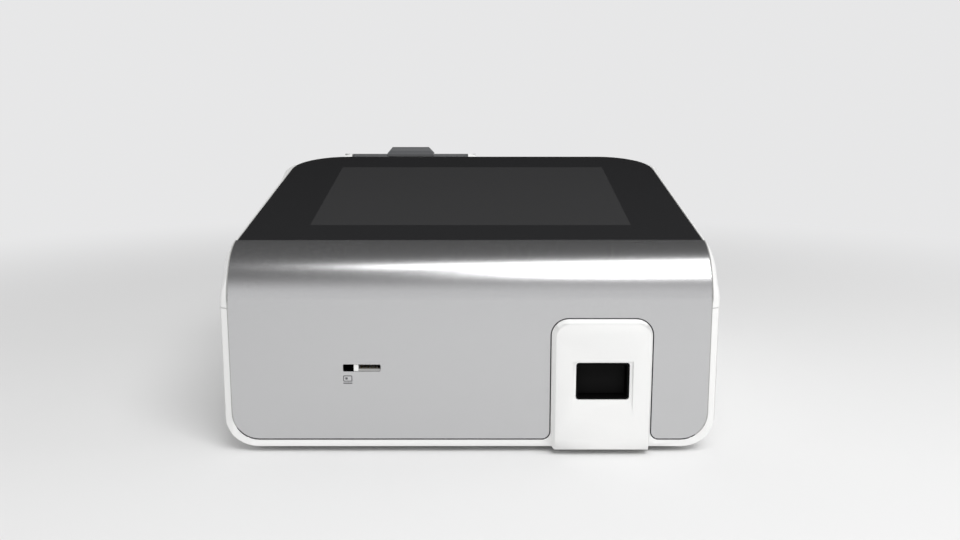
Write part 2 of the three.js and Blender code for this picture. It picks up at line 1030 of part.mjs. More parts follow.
function buildCartridgeClip() {
  const y = pocketY1 - fit.gap - tray.clipThickness;
  const half = tray.clipWidth / 2;
  const points = [];
  for (let k = 0; k <= facets.corner * 2; k++) {
    const share = k / (facets.corner * 2);
    points.push(
      new THREE.Vector2(
        portX - half + tray.clipWidth * share,
        y - tray.clipBow * sin(PI * share),
      ),
    );
  }
  const z0 = pocketFloor + fit.gap;
  const leaf = alongZ(band(points, tray.clipThickness), z0, z0 + tray.clipHeight);
  piece("cartridge_clip", leaf, finish.steel);
}

// Gear teeth

const pitch = PI * gearing.module;
const addendum = gearing.addendumShare * gearing.module;
const dedendum = gearing.dedendumShare * gearing.module;

function pitchRadius(teeth) {
  return (gearing.module * teeth) / 2;
}

// A spur gear outline: involute flanks from the base circle to the tip, one tooth centred on an angle
function gearOutline(x, y, teeth, toothAt) {
  const radius = pitchRadius(teeth);
  const base = radius * cos(gearing.pressure);
  const root = radius - dedendum;
  const involute = (angle) => tan(angle) - angle;
  const halfPitch = (pitch / 2 - fit.backlash) / (2 * radius);
  const halfAt = (r) => {
    const angle = acos(base / max(r, base));
    return halfPitch + involute(gearing.pressure) - involute(angle);
  };
  const flanks = [root, max(base, root + dedendum / 2), radius + addendum];
  const sides = [
    ...flanks.map((r) => [r, -halfAt(r)]),
    ...flanks.map((r) => [r, halfAt(r)]).reverse(),
  ];
  const points = [];
  for (let tooth = 0; tooth < teeth; tooth++) {
    const centre = toothAt + (2 * PI * tooth) / teeth;
    for (const [r, turn] of sides) {
      const angle = centre + turn;
      points.push(new THREE.Vector2(x + r * cos(angle), y + r * sin(angle)));
    }
  }
  return new THREE.Shape(points);
}

const rackBack = trayLeft - fit.gap;
const rackRoot = rackBack - rack.thickness + dedendum + addendum;
const rackPitchLine = rackRoot - dedendum;
const rackFloor = trayFloor + rack.lift;
const rackTop = rackFloor + rack.height;
const gearX = rackPitchLine - pitchRadius(drive.pinionTeeth);
const opticsY = trayFront + optics.fromTrayFront + optics.length / 2;
const gearY = opticsY + drive.behindOptics;
const rackSteps = Math.ceil((tray.travel + 2 * rack.lead) / pitch);

function buildRack() {
  const first = gearY - rack.lead;
  const flank = tan(gearing.pressure);
  const halfTooth = (pitch / 2 - fit.backlash) / 2;
  const points = [new THREE.Vector2(rackBack, first)];
  const teeth = [];
  for (let tooth = 0; tooth < rackSteps; tooth++) {
    const y = gearY + (tooth - 1 / 2) * pitch;
    teeth.push(
      new THREE.Vector2(rackRoot, y - halfTooth - dedendum * flank),
      new THREE.Vector2(rackPitchLine - addendum, y - halfTooth + addendum * flank),
      new THREE.Vector2(rackPitchLine - addendum, y + halfTooth - addendum * flank),
      new THREE.Vector2(rackRoot, y + halfTooth + dedendum * flank),
    );
  }
  const last = teeth.at(-1).y + rack.lead / 2;
  points.push(new THREE.Vector2(rackBack, last), new THREE.Vector2(rackRoot, last));
  points.push(...teeth.reverse(), new THREE.Vector2(rackRoot, first));
  piece("tray_rack", alongZ(new THREE.Shape(points), rackFloor, rackTop), finish.acetal);
}

// The bed that the tray slides on, with its gear plate

const linerFront = portFrontY + port.scoopDepth + fit.gap;
const bedFront = linerFront + port.linerLength + fit.gap;
const bedTop = bed.underside + bed.thickness;
const bedLeft = trayLeft - bed.margin + bed.wall;
const bedRight = trayRight + bed.margin;
const bedRear = trayRear + bed.tailLength;
const pinionX = gearX - pitchRadius(drive.wheelTeeth) - pitchRadius(drive.motorTeeth);
const gearPlateFront = gearY - bed.gearFront;
const gearPlateRear = gearY + bed.gearRear;
const bore = drive.axleDiameter + 2 * fit.gap;
const bedPostPlaces = [
  [bedLeft + bed.postDiameter / 2, bedFront + bed.postDiameter],
  [bedRight - bed.postDiameter / 2, bedFront + bed.postDiameter],
  [bedLeft + bed.postDiameter / 2, bedRear - bed.postFromRear],
  [bedRight - bed.postDiameter / 2, bedRear - bed.postFromRear],
];

function buildTrayBed() {
  const plate = block(bedLeft, bedRight, bedFront, bedRear, bed.underside, bedTop);
  const gearPlate = alongZ(
    rectangle(
      bedLeft - bed.gearLeft + bed.margin,
      bedLeft + bed.wall,
      gearPlateFront,
      gearPlateRear,
      bed.margin,
    ),
    bed.underside,
    bedTop,
  );
  const ribTop = trayFloor - fit.gap;
  const ribs = [trayLeft + bed.ribInset, trayRight - bed.ribInset - bed.ribWidth].map((x) =>
    block(x, x + bed.ribWidth, bedFront, bedRear, bedTop - bed.thickness / 2, ribTop),
  );
  const fence = trayRight + fit.running;
  const keeperZ = trayTop + fit.gap;
  const guide = alongY(
    outline([
      [fence, bed.underside],
      [fence + bed.wall, bed.underside],
      [fence + bed.wall, keeperZ + bed.keeper],
      [fence - bed.keeper, keeperZ + bed.keeper],
      [fence - bed.keeper, keeperZ],
      [fence, keeperZ],
    ]),
    bedFront,
    bedRear,
  );
  const kerb = block(
    rackBack - bed.wall,
    rackBack,
    bedFront,
    bedRear,
    bed.underside,
    rackFloor - fit.gap,
  );
  const cuts = joined(
    rodZ(gearX, gearY, bed.underside - fit.overrun, bedTop + fit.overrun, bore),
    rodZ(pinionX, gearY, bed.underside - fit.overrun, bedTop + fit.overrun, bore),
  );
  const made = joined(plate, gearPlate, ...ribs, guide, kerb).subtract(cuts);
  const relief = rodZ(
    gearX,
    gearY,
    bedTop,
    rackTop + fit.overrun,
    2 * (pitchRadius(drive.pinionTeeth) + addendum + fit.running),
    facets.wheel,
  );
  piece("tray_bed", made.subtract(relief), finish.steel);
}

function bedPosts() {
  const top = bed.underside - fit.gap;
  return joined(
    ...bedPostPlaces.map(([x, y]) => rodZ(x, y, bottomZ + shell.wall / 2, top, bed.postDiameter)),
  );
}

// The drive: motor under the gear plate, its pinion, and the two-step gear that meets the rack

const wheelZ = trayTop + fit.running;
const wheelTop = wheelZ + drive.wheelThickness;

function buildReductionGear() {
  const z0 = bedTop + fit.gap;
  const pinionZ = rackFloor - drive.pinionOverlap;
  const pinion = alongZ(
    gearOutline(gearX, gearY, drive.pinionTeeth, 0),
    pinionZ,
    wheelZ + drive.wheelThickness / 2,
  );
  const wheel = alongZ(gearOutline(gearX, gearY, drive.wheelTeeth, PI), wheelZ, wheelTop);
  const hub = rodZ(gearX, gearY, z0, pinionZ + drive.pinionOverlap, drive.hubDiameter);
  const hole = rodZ(gearX, gearY, z0 - fit.overrun, wheelTop + fit.overrun, bore);
  piece("reduction_gear", joined(pinion, wheel, hub).subtract(hole), finish.acetal);
}

function buildGearAxle() {
  const shank = rodZ(
    gearX,
    gearY,
    bed.underside,
    wheelTop + fit.gap + drive.axleHead / 2,
    drive.axleDiameter,
  );
  const head = rodZ(
    gearX,
    gearY,
    wheelTop + fit.gap,
    wheelTop + fit.gap + drive.axleHead,
    drive.axleHeadDiameter,
  );
  piece("gear_axle", shank.add(head), finish.steel);
}

function buildDriveMotor() {
  const top = bed.underside - fit.gap;
  const can = rodZ(pinionX, gearY, top - drive.motorHeight, top, drive.motorDiameter, facets.wheel);
  const reach = drive.motorDiameter / 2 + drive.motorEar;
  const flange = alongZ(
    outline([
      [pinionX - drive.motorEar, gearY - reach, drive.motorEar / 2],
      [pinionX + drive.motorEar, gearY - reach, drive.motorEar / 2],
      [pinionX + drive.motorEar, gearY + reach, drive.motorEar / 2],
      [pinionX - drive.motorEar, gearY + reach, drive.motorEar / 2],
    ]),
    top - drive.motorFlange,
    top,
  );
  piece("drive_motor", can.add(flange), finish.steel);
}

function buildMotorPinion() {
  const gapAt = PI / drive.motorTeeth;
  const teeth = alongZ(
    gearOutline(pinionX, gearY, drive.motorTeeth, gapAt),
    wheelZ - fit.gap,
    wheelZ - fit.gap + drive.motorPinionHeight,
  );
  const shaft = rodZ(
    pinionX,
    gearY,
    bed.underside,
    wheelZ - fit.gap + drive.motorPinionHeight + fit.gap,
    drive.shaftDiameter,
  );
  piece("motor_pinion", teeth.add(shaft), finish.brass);
}

// The optics: a dark block over the tray that lights the cartridge and reads it

const opticsLeft = portX - optics.width / 2;
const opticsRight = portX + optics.width / 2;
const opticsFront = trayFront + optics.fromTrayFront;
const opticsRear = opticsFront + optics.length;
const opticsBase = trayTop + optics.overTray;
const opticsTop = opticsBase + optics.height;
const legLeft = rackBack - rack.thickness - fit.running;

function buildOpticsBlock() {
  const body = alongX(
    outline([
      [opticsFront, opticsBase],
      [opticsRear, opticsBase],
      [opticsRear, opticsTop, optics.legLength],
      [opticsFront, opticsTop, optics.legLength],
    ]),
    opticsLeft,
    opticsRight,
  );
  const legs = [];
  const legRight = trayRight + fit.running + bed.wall + fit.running;
  for (const y of [opticsFront, opticsRear - optics.legLength]) {
    const y1 = y + optics.legLength;
    legs.push(
      block(legLeft - optics.legWidth, opticsLeft + optics.legWidth, y, y1, opticsBase, opticsBase + optics.legWidth),
      block(legLeft - optics.legWidth, legLeft, y, y1, bedTop + fit.gap, opticsBase + optics.legWidth),
      block(legRight, legRight + optics.legWidth, y, y1, bedTop + fit.gap, opticsBase + optics.legWidth),
    );
  }
  const path = rodZ(portX, opticsY, opticsBase - fit.overrun, opticsTop + fit.overrun, optics.boreDiameter);
  const lensSeat = rodZ(
    portX,
    opticsY,
    opticsBase - fit.overrun,
    opticsBase + optics.lensRecess + optics.lensThickness + fit.gap,
    optics.lensDiameter + 2 * fit.gap,
  );
  const filterSeat = rodZ(
    portX,
    opticsY,
    opticsTop - optics.filterDepth,
    opticsTop + fit.overrun,
    optics.filterDiameter + 2 * fit.gap,
  );
  const ledBore = rodY(
    portX,
    opticsFront - fit.overrun,
    opticsY,
    opticsBase + optics.ledHeight,
    optics.ledDiameter + 2 * fit.gap,
  );
  const cuts = joined(path, lensSeat, filterSeat, ledBore);
  piece("optics_block", joined(body, ...legs).subtract(cuts), finish.black);
}

function buildOpticalParts() {
  const lensZ = opticsBase + optics.lensRecess;
  const lens = rodZ(portX, opticsY, lensZ, lensZ + optics.lensThickness, optics.lensDiameter);
  piece("objective_lens", lens, finish.lens);
  const filterZ = opticsTop - optics.filterDepth + fit.gap;
  const filter = rodZ(
    portX,
    opticsY,
    filterZ,
    filterZ + optics.filterThickness,
    optics.filterDiameter,
  );
  piece("emission_filter", filter, finish.lens);
  const ledZ = opticsBase + optics.ledHeight;
  const led = rodY(portX, opticsFront, opticsFront + optics.ledLength, ledZ, optics.ledDiameter);
  piece("excitation_led", led, finish.lens);
  const inset = optics.boardInset;
  const boardZ = opticsTop + fit.gap;
  const card = block(
    opticsLeft + inset,
    opticsRight - inset,
    opticsFront + optics.legLength,
    opticsRear - optics.legLength,
    boardZ,
    boardZ + optics.boardThickness,
  );
  const half = optics.sensorSize / 2;
  const sensor = block(
    portX - half,
    portX + half,
    opticsY - half,
    opticsY + half,
    boardZ - optics.sensorHeight / 2,
    boardZ + optics.sensorHeight,
  );
  piece("detector_board", card.add(sensor), finish.circuit);
}

function buildHomeSensor() {
  const x = trayRight + fit.running + bed.wall + fit.gap;
  const y = bedRear - homeSensor.fromTail;
  const z = bedTop + fit.gap;
  const body = block(x, x + homeSensor.width, y, y + homeSensor.length, z, z + homeSensor.height);
  const middle = y + homeSensor.length / 2;
  const half = homeSensor.slotWidth / 2;
  const top = z + homeSensor.height;
  const gate = block(
    x - fit.overrun,
    x + homeSensor.width + fit.overrun,
    middle - half,
    middle + half,
    top - homeSensor.slotDepth,
    top + fit.overrun,
  );
  piece("home_sensor", body.subtract(gate), finish.black);
}

// The ID chip reader behind the silver panel

function buildIdReader() {
  const x0 = slotX - slot.width / 2 + fit.gap / 2;
  const x1 = slotX + slot.width / 2 - fit.gap / 2;
  const z0 = slot.sill + fit.gap / 2;
  const z1 = slot.sill + slot.height - fit.gap / 2;
  const face = frontY + slot.lip;
  const back = face + slot.length;
  const behind = frontY + panel.thickness + fit.gap;
  const nose = alongY(rectangle(x0, x1, z0, z1, slot.radius), face, back);
  const flange = alongY(
    rectangle(x0 - slot.flange, x1 + slot.flange, z0 - slot.flange, z1 + slot.flange, slot.flange),
    behind + slot.flangeThickness,
    behind + 2 * slot.flangeThickness,
  );
  const cellRight = x0 + slot.lip + slot.leftCell;
  const channelLeft = cellRight + slot.divider;
  const cell = block(
    x0 + slot.lip,
    cellRight,
    face - fit.overrun,
    back - slot.flangeThickness,
    z0 + slot.lip,
    z1 - slot.lip,
  );
  const channel = block(
    channelLeft,
    x1 - slot.lip,
    face - fit.overrun,
    back - slot.flangeThickness,
    z0 + slot.ledge,
    z1 - slot.lip,
  );
  piece("id_slot_insert", nose.add(flange).subtract(cell.add(channel)), finish.black);

  const boardTop = slot.sill - slot.boardDrop + slot.boardThickness;
  const y0 = frontY + skinDepth + 2 * slot.flange;
  const half = slot.boardWidth / 2;
  const card = block(
    slotX - half,
    slotX + half,
    y0,
    y0 + slot.boardLength,
    boardTop - slot.boardThickness,
    boardTop,
  );
  const socket = block(
    slotX - half + slot.socketMargin,
    slotX + half - slot.socketMargin,
    back + fit.gap,
    y0 + slot.boardLength - slot.socketMargin,
    boardTop - slot.boardThickness / 2,
    boardTop + slot.socketHeight,
  );
  piece("id_board", card.add(socket), finish.circuit);
}

function idPosts() {
  const y0 = frontY + skinDepth + 2 * slot.flange;
  const top = slot.sill - slot.boardDrop - fit.gap;
  const half = slot.boardWidth / 2 - slot.socketMargin;
  const y = y0 + slot.boardLength / 2;
  return joined(
    rodZ(slotX - half, y, bottomZ + shell.wall / 2, top, slot.socketMargin * 2),
    rodZ(slotX + half, y, bottomZ + shell.wall / 2, top, slot.socketMargin * 2),
  );
}

// The main board with its connectors at the rear wall

const boardZ = floorZ + board.standoff + fit.gap;
const boardTop = boardZ + board.thickness;
const boardRear = rearY - shell.wall - board.rearGap;
const boardFront = max(...bedPostPlaces.map((place) => place[1])) + bed.postDiameter / 2 + board.bedGap;
const boardDepth = boardRear - boardFront;
const boardHalf = switchX - rear.bezelWidth / 2 - board.switchGap;
const dcX = boardHalf - board.screwInset - board.screwHead / 2 - rear.dcGap - rear.dcWidth / 2;
const boardCorners = [-1, 1].flatMap((side) =>
  [boardFront + board.screwInset, boardRear - board.screwInset].map((y) => [
    side * (boardHalf - board.screwInset),
    y,
  ]),
);
const connectorZ = boardTop + fit.gap;
const connectorEnd = rearY - fit.gap;

function buildMainBoard() {
  const card = block(-boardHalf, boardHalf, boardFront, boardRear, boardZ, boardTop);
  const hole = board.screwDiameter + 2 * fit.gap;
  const holes = joined(
    ...boardCorners.map(([x, y]) => rodZ(x, y, boardZ - fit.overrun, boardTop + fit.overrun, hole)),
  );
  // Memory, power chips and coils soldered on the board, as shares of it: across, back, wide, deep, tall
  const chipShares = [
    [-0.2, 0.15, 0.08, 0.1, 0.5],
    [0.17, 0.35, 0.08, 0.1, 0.5],
    [0.3, 0.6, 0.08, 0.09, 2.2],
    [0.18, 0.62, 0.05, 0.06, 2],
    [-0.32, 0.72, 0.06, 0.08, 2.4],
  ];
  const chips = chipShares.map((shares) => onBoard(shares, boardTop - board.thickness / 2));
  piece("main_board", joined(card.subtract(holes), ...chips), finish.circuit);
  const shieldShares = [-0.3, 0.35, 0.16, 0.2, 1.2];
  piece("processor_shield", onBoard(shieldShares, connectorZ), finish.steel);

  boardCorners.forEach(([x, y], n) => {
    const head = boardTop + fit.gap;
    const made = joined(
      rodZ(x, y, head, head + board.screwHeadHeight, board.screwHead),
      rodZ(x, y, boardZ - board.screwGrip, head + fit.gap, board.screwDiameter),
    );
    piece("board_screw_" + (n + 1), made, finish.steel);
  });
}

// A block on the main board, given as shares of the board's width and depth and of a chip's height
function onBoard([across, back, wide, deep, tall], z0) {
  const x = 2 * across * boardHalf;
  const y = boardFront + back * boardDepth;
  const halfX = wide * boardHalf;
  const halfY = (deep * boardDepth) / 2;
  return block(x - halfX, x + halfX, y - halfY, y + halfY, z0, connectorZ + tall * board.chipHeight);
}

function boardPosts() {
  const top = boardZ - fit.gap;
  const hole = board.screwDiameter + 2 * fit.gap;
  const posts = boardCorners.map(([x, y]) =>
    rodZ(x, y, bottomZ + shell.wall / 2, top, board.standoffDiameter),
  );
  const holes = boardCorners.map(([x, y]) =>
    rodZ(x, y, boardZ - board.screwGrip - fit.gap, top + fit.overrun, hole, 8),
  );
  return joined(...posts).subtract(joined(...holes));
}

function spanAt(centre, width) {
  return [centre - width / 2, centre + width / 2];
}

function buildRearSockets() {
  const [dc0, dc1] = spanAt(dcX, rear.dcWidth);
  const dcAxis = connectorZ + rear.dcHeight / 2;
  const dcEnd = connectorEnd + fit.overrun;
  const jack = block(dc0, dc1, connectorEnd - rear.dcLength, connectorEnd, connectorZ, connectorZ + rear.dcHeight);
  const barrel = rodY(dcX, connectorEnd - rear.dcBoreDepth, dcEnd, dcAxis, rear.dcBore).subtract(
    rodY(dcX, connectorEnd - rear.dcBoreDepth, connectorEnd - fit.gap, dcAxis, rear.dcPin, 8),
  );
  piece("dc_jack", jack.subtract(barrel), finish.black);

  ["usb_port_right", "usb_port_left"].forEach((name, n) => {
    const [x0, x1] = spanAt(rear.usbX - n * rear.usbSpacing, rear.usbWidth);
    const top = connectorZ + rear.usbHeight;
    const can = block(x0, x1, connectorEnd - rear.usbLength, connectorEnd, connectorZ, top);
    const cavity = block(
      x0 + rear.usbWall,
      x1 - rear.usbWall,
      connectorEnd - rear.usbDepth,
      connectorEnd + fit.overrun,
      connectorZ + rear.usbWall,
      top - rear.usbWall,
    );
    const tongue = block(
      x0 + 2 * rear.usbWall,
      x1 - 2 * rear.usbWall,
      connectorEnd - rear.usbDepth - fit.overrun,
      connectorEnd - rear.usbWall,
      top - rear.usbWall - rear.usbTongue,
      top - rear.usbWall - fit.gap,
    );
    piece(name, can.subtract(cavity).add(tongue), finish.steel);
  });

  const [lan0, lan1] = spanAt(rear.lanX, rear.lanWidth);
  const [plug0, plug1] = spanAt(rear.lanX, rear.lanPlugWidth);
  const plugZ = connectorZ + rear.lanPlugSill;
  const can = block(lan0, lan1, connectorEnd - rear.lanLength, connectorEnd, connectorZ, connectorZ + rear.lanHeight);
  const cavity = block(
    plug0,
    plug1,
    connectorEnd - rear.lanPlugDepth,
    connectorEnd + fit.overrun,
    plugZ,
    plugZ + rear.lanPlugHeight,
  );
  piece("lan_port", can.subtract(cavity), finish.steel);
}

// The power switch, snapped into a recess of the rear wall

const recessY = rearY - rear.bezelRecess;
const rockerAxisY = recessY + rear.bezelThickness / 2 - fit.gap;

function buildPowerSwitch() {
  const [x0, x1] = spanAt(switchX, rear.switchWidth);
  const [z0, z1] = spanAt(rear.switchZ, rear.switchHeight);
  const [bx0, bx1] = spanAt(switchX, rear.bezelWidth);
  const [bz0, bz1] = spanAt(rear.switchZ, rear.bezelHeight);
  const bezelY0 = recessY + fit.gap;
  const body = block(x0, x1, bezelY0 - rear.switchDepth, bezelY0 + rear.bezelThickness / 2, z0, z1);
  const bezel = alongY(
    rectangle(bx0, bx1, bz0, bz1, rear.bezelThickness),
    bezelY0,
    bezelY0 + rear.bezelThickness,
  );
  const [rx0, rx1] = spanAt(switchX, rear.rockerWidth + 2 * fit.running);
  const sweep = rear.rockerHeight / 2 + fit.running;
  const opening = block(
    rx0,
    rx1,
    rockerAxisY - rear.rockerDepth - fit.overrun,
    rearY + fit.overrun,
    rear.switchZ - sweep,
    rear.switchZ + sweep,
  );
  piece("power_switch_body", body.add(bezel).subtract(opening), finish.black);

  // The rocker's face is two shallow flats that meet at its pivot, and it rests tipped to one side
  const [px0, px1] = spanAt(switchX, rear.rockerWidth);
  const half = rear.rockerHeight / 2 - fit.running;
  const rise = half * tan(rear.rockerSwing / 2);
  const pivot = new THREE.Vector2(rockerAxisY, rear.switchZ);
  const profile = outlinePoints([
    [rockerAxisY - rear.rockerDepth, rear.switchZ - half / 2],
    [rockerAxisY, rear.switchZ - half],
    [rockerAxisY + rise / 2, rear.switchZ - half],
    [rockerAxisY, rear.switchZ],
    [rockerAxisY + rise / 2, rear.switchZ + half],
    [rockerAxisY, rear.switchZ + half],
    [rockerAxisY - rear.rockerDepth, rear.switchZ + half / 2],
  ]);
  const tipped = profile.map((point) => point.rotateAround(pivot, rear.rockerSwing / 2));
  piece("power_rocker", alongX(new THREE.Shape(tipped), px0, px1), finish.black);
}

function rearPad() {
  const [x0, x1] = spanAt(switchX, rear.bezelWidth + 2 * rear.padMargin);
  const [z0, z1] = spanAt(rear.switchZ, rear.bezelHeight + 2 * rear.padMargin);
  return block(x0, x1, rearY - rear.bezelRecess - shell.wall, rearY - shell.wall / 2, z0, z1);
}

function rearCuts() {
  const through = [rearY - shell.wall - rear.bezelRecess - fit.overrun, rearY + fit.overrun];
  const hole = (centre, width, z0, height) => {
    const [x0, x1] = spanAt(centre, width + 2 * fit.gap);
    return block(x0, x1, ...through, z0 - fit.gap, z0 + height + fit.gap);
  };
  const [bz0] = spanAt(rear.switchZ, rear.bezelHeight);
  const [sz0] = spanAt(rear.switchZ, rear.switchHeight);
  const [bx0, bx1] = spanAt(switchX, rear.bezelWidth + 2 * fit.gap);
  const recess = block(
    bx0,
    bx1,
    recessY,
    rearY + fit.overrun,
    bz0 - fit.gap,
    bz0 + rear.bezelHeight + fit.gap,
  );
  const slots = [];
  for (let n = 0; n < rear.ventSlots; n++) {
    const x = ventX + n * rear.ventPitch;
    const half = rear.ventWidth / 2;
    slots.push(block(x - half, x + half, ...through, rear.ventZ, rear.ventZ + rear.ventHeight));
  }
  return joined(
    hole(dcX, rear.dcWidth, connectorZ, rear.dcHeight),
    hole(rear.usbX, rear.usbWidth, connectorZ, rear.usbHeight),
    hole(rear.usbX - rear.usbSpacing, rear.usbWidth, connectorZ, rear.usbHeight),
    hole(rear.lanX, rear.lanWidth, connectorZ, rear.lanHeight),
    hole(switchX, rear.switchWidth, sz0, rear.switchHeight),
    recess,
    ...slots,
  );
}

// The speaker, in a rim on the floor over its own slots

function buildSpeaker() {
  const z0 = floorZ + fit.gap;
  const body = rodZ(speakerX, speakerY, z0, z0 + speaker.height, speaker.diameter, facets.wheel);
  const dish = rodZ(
    speakerX,
    speakerY,
    z0 - fit.overrun,
    z0 + speaker.coneDepth,
    speaker.coneDiameter,
  );
  piece("speaker", body.subtract(dish), finish.black);
}

function speakerRim() {
  const inner = speaker.diameter + 2 * fit.gap;
  const outer = inner + 2 * speaker.rimWall;
  const top = floorZ + speaker.rimHeight;
  return rodZ(speakerX, speakerY, bottomZ + shell.wall / 2, top, outer, facets.wheel).subtract(
    rodZ(speakerX, speakerY, floorZ, top + fit.overrun, inner, facets.wheel),
  );
}

function speakerSlots() {
  const slots = [];
  for (let n = 0; n < speaker.slots; n++) {
    const y = (n - (speaker.slots - 1) / 2) * speaker.slotPitch;
    const half = sqrt((speaker.coneDiameter / 2) ** 2 - y ** 2) - speaker.slotWidth;
    const lower = speakerY + y - speaker.slotWidth / 2;
    slots.push(
      block(speakerX - half, speakerX + half, lower, lower + speaker.slotWidth, 0, floorZ + fit.gap),
    );
  }
  return joined(...slots);
}

// The two halves of the case

const cavityForm = () => caseForm(shell.wall, skinDepth);

function buildLowerHousing(outer, cavity) {
  const below = block(
    -shellWidth,
    shellWidth,
    -shellDepth,
    shellDepth,
    -foot.height,
    partingZ,
  );
  const walls = outer.subtract(cavity).intersect(below);
  const lipZone = block(
    -shellWidth,
    shellWidth,
    -shellDepth,
    shellDepth,
    partingZ - shell.lipRoot,
    partingZ + shell.lipHeight,
  );
  const lipOuter = caseForm(shell.wall + fit.gap, skinDepth + fit.gap);
  const lipInner = caseForm(shell.wall + fit.gap + shell.lip, skinDepth + fit.gap + shell.lip);
  const lip = lipOuter.subtract(lipInner).intersect(lipZone);
  const lipFoot = block(
    -shellWidth,
    shellWidth,
    -shellDepth,
    shellDepth,
    partingZ - shell.lipRoot,
    partingZ - fit.gap,
  );
  const bridge = cavity.subtract(lipInner).intersect(lipFoot);
  const bosses = screwBosses(bottomZ + shell.wall / 2, partingZ);
  const extras = joined(bosses, bedPosts(), idPosts(), boardPosts(), speakerRim(), rearPad());
  const inside = caseForm(shell.wall / 2, skinDepth - shell.wall / 2);
  const furnished = joined(walls, lip, bridge, portBlock(), extras.intersect(inside));
  const cuts = joined(
    panelForm(fit.seam, -fit.overrun, panel.thickness + fit.gap),
    slotOpening(slot.flange + 2 * fit.gap, frontY, frontY + skinDepth + fit.overrun),
    portScoop(),
    mouthCut(portFrontY - fit.overrun, frontY + skinDepth + fit.overrun),
    portHollow(),
    footSeats(),
    screwHoles(0, screwSeatZ, screw.wellDiameter),
    screwHoles(0, partingZ + fit.overrun, screwHole),
    rearCuts(),
    speakerSlots(),
  );
  piece("lower_housing", furnished.subtract(cuts), finish.white);
}

// The raised wedge that frames the printer lid

const headBack = platenY - platen.diameter / 2 - fit.running;
const headFace = headBack - printFrame.headThickness;
const openingHalf = lidWidth / 2 + printer.openingGap;
const openingFront = headFace - fit.running;
const openingLeft = printerX - openingHalf;
const openingRight = printerX + openingHalf;
const hingeZ = lidPlaneAt(lidHingeY, lid.hingeDrop);
const openingRear = lidHingeY + lid.tail + 3 * fit.running;
const wedgeRear = openingRear + printer.rearBar;

function printerWedge() {
  const topHalf = lidWidth / 2 + printer.topCheek;
  const baseHalf = lidWidth / 2 + printer.baseCheek;
  const base = deckAt(rearY, 2 * shell.wall);
  const high = lidPlaneAt(openingFront, 0);
  const section = alongY(
    outline([
      [printerX - baseHalf, base],
      [printerX + baseHalf, base],
      [printerX + topHalf, high],
      [printerX - topHalf, high],
    ]),
    openingFront,
    wedgeRear,
  );
  const side = alongX(
    outline([
      [openingFront, deckAt(openingFront, shell.wall / 2)],
      [wedgeRear + lid.tail, deckAt(wedgeRear + lid.tail, shell.wall / 2)],
      [wedgeRear, lidPlaneAt(wedgeRear, 0)],
      [openingFront, lidPlaneAt(openingFront, 0), printer.cheekRadius],
    ]),
    printerX - baseHalf,
    printerX + baseHalf,
  );
  return section.intersect(side);
}

function printerOpening() {
  return block(openingLeft, openingRight, openingFront, openingRear, 0, lidFrontZ + fit.overrun);
}

function buildUpperHousing(outer, cavity) {
  const above = block(
    -shellWidth,
    shellWidth,
    -shellDepth,
    shellDepth,
    partingZ + fit.gap,
    2 * shellDepth,
  );
  const walls = outer.subtract(cavity);
  const inside = caseForm(shell.wall / 2, skinDepth - shell.wall / 2);
  const bosses = screwBosses(partingZ + fit.gap, partingZ + shellDepth).intersect(inside);
  const wedge = printerWedge();
  const glassHalf = glassWidth / 2 + fit.gap;
  const glassEnd = glassLength + fit.gap;
  const glassRadius = glass.cornerRadius + fit.gap;
  const glassSeat = onTopPlane(
    outline([
      [-glassHalf, 0],
      [glassHalf, 0],
      [glassHalf, glassEnd, glassRadius, facets.roll],
      [-glassHalf, glassEnd, glassRadius, facets.roll],
    ]),
    -glassFloor,
    fit.overrun,
  );
  const margin = display.windowMargin;
  const window = onTopPlane(
    rectangle(
      -display.width / 2 - margin,
      display.width / 2 + margin,
      glass.frontBorder - margin,
      glass.frontBorder + display.height + margin,
    ),
    -skinDepth - fit.overrun,
    0,
  );
  const pin = lid.pinDiameter + 2 * fit.gap;
  const pinReach = openingHalf + lid.pinEngagement + fit.gap;
  const pinHole = rodX(printerX - pinReach, printerX + pinReach, lidHingeY, hingeZ, pin);
  const cuts = joined(
    panelForm(fit.seam, -fit.overrun, panel.thickness + fit.gap),
    glassSeat,
    window,
    printerOpening(),
    pinHole,
    screwHoles(partingZ, partingZ + screw.upperBoss, screwHole),
  );
  const made = joined(walls, wedge, bosses).intersect(above).subtract(cuts);
  piece("upper_housing", made, finish.white);
}

// Glass and display

function buildTouchGlass() {
  const half = glassWidth / 2;
  const shape = outline([
    [-half, fit.gap, glass.frontRadius, 1],
    [half, fit.gap, glass.frontRadius, 1],
    [half, glassLength, glass.cornerRadius, facets.roll],
    [-half, glassLength, glass.cornerRadius, facets.roll],
  ]);
  piece("touch_glass", onTopPlane(shape, -glass.thickness, 0), finish.glass);
}

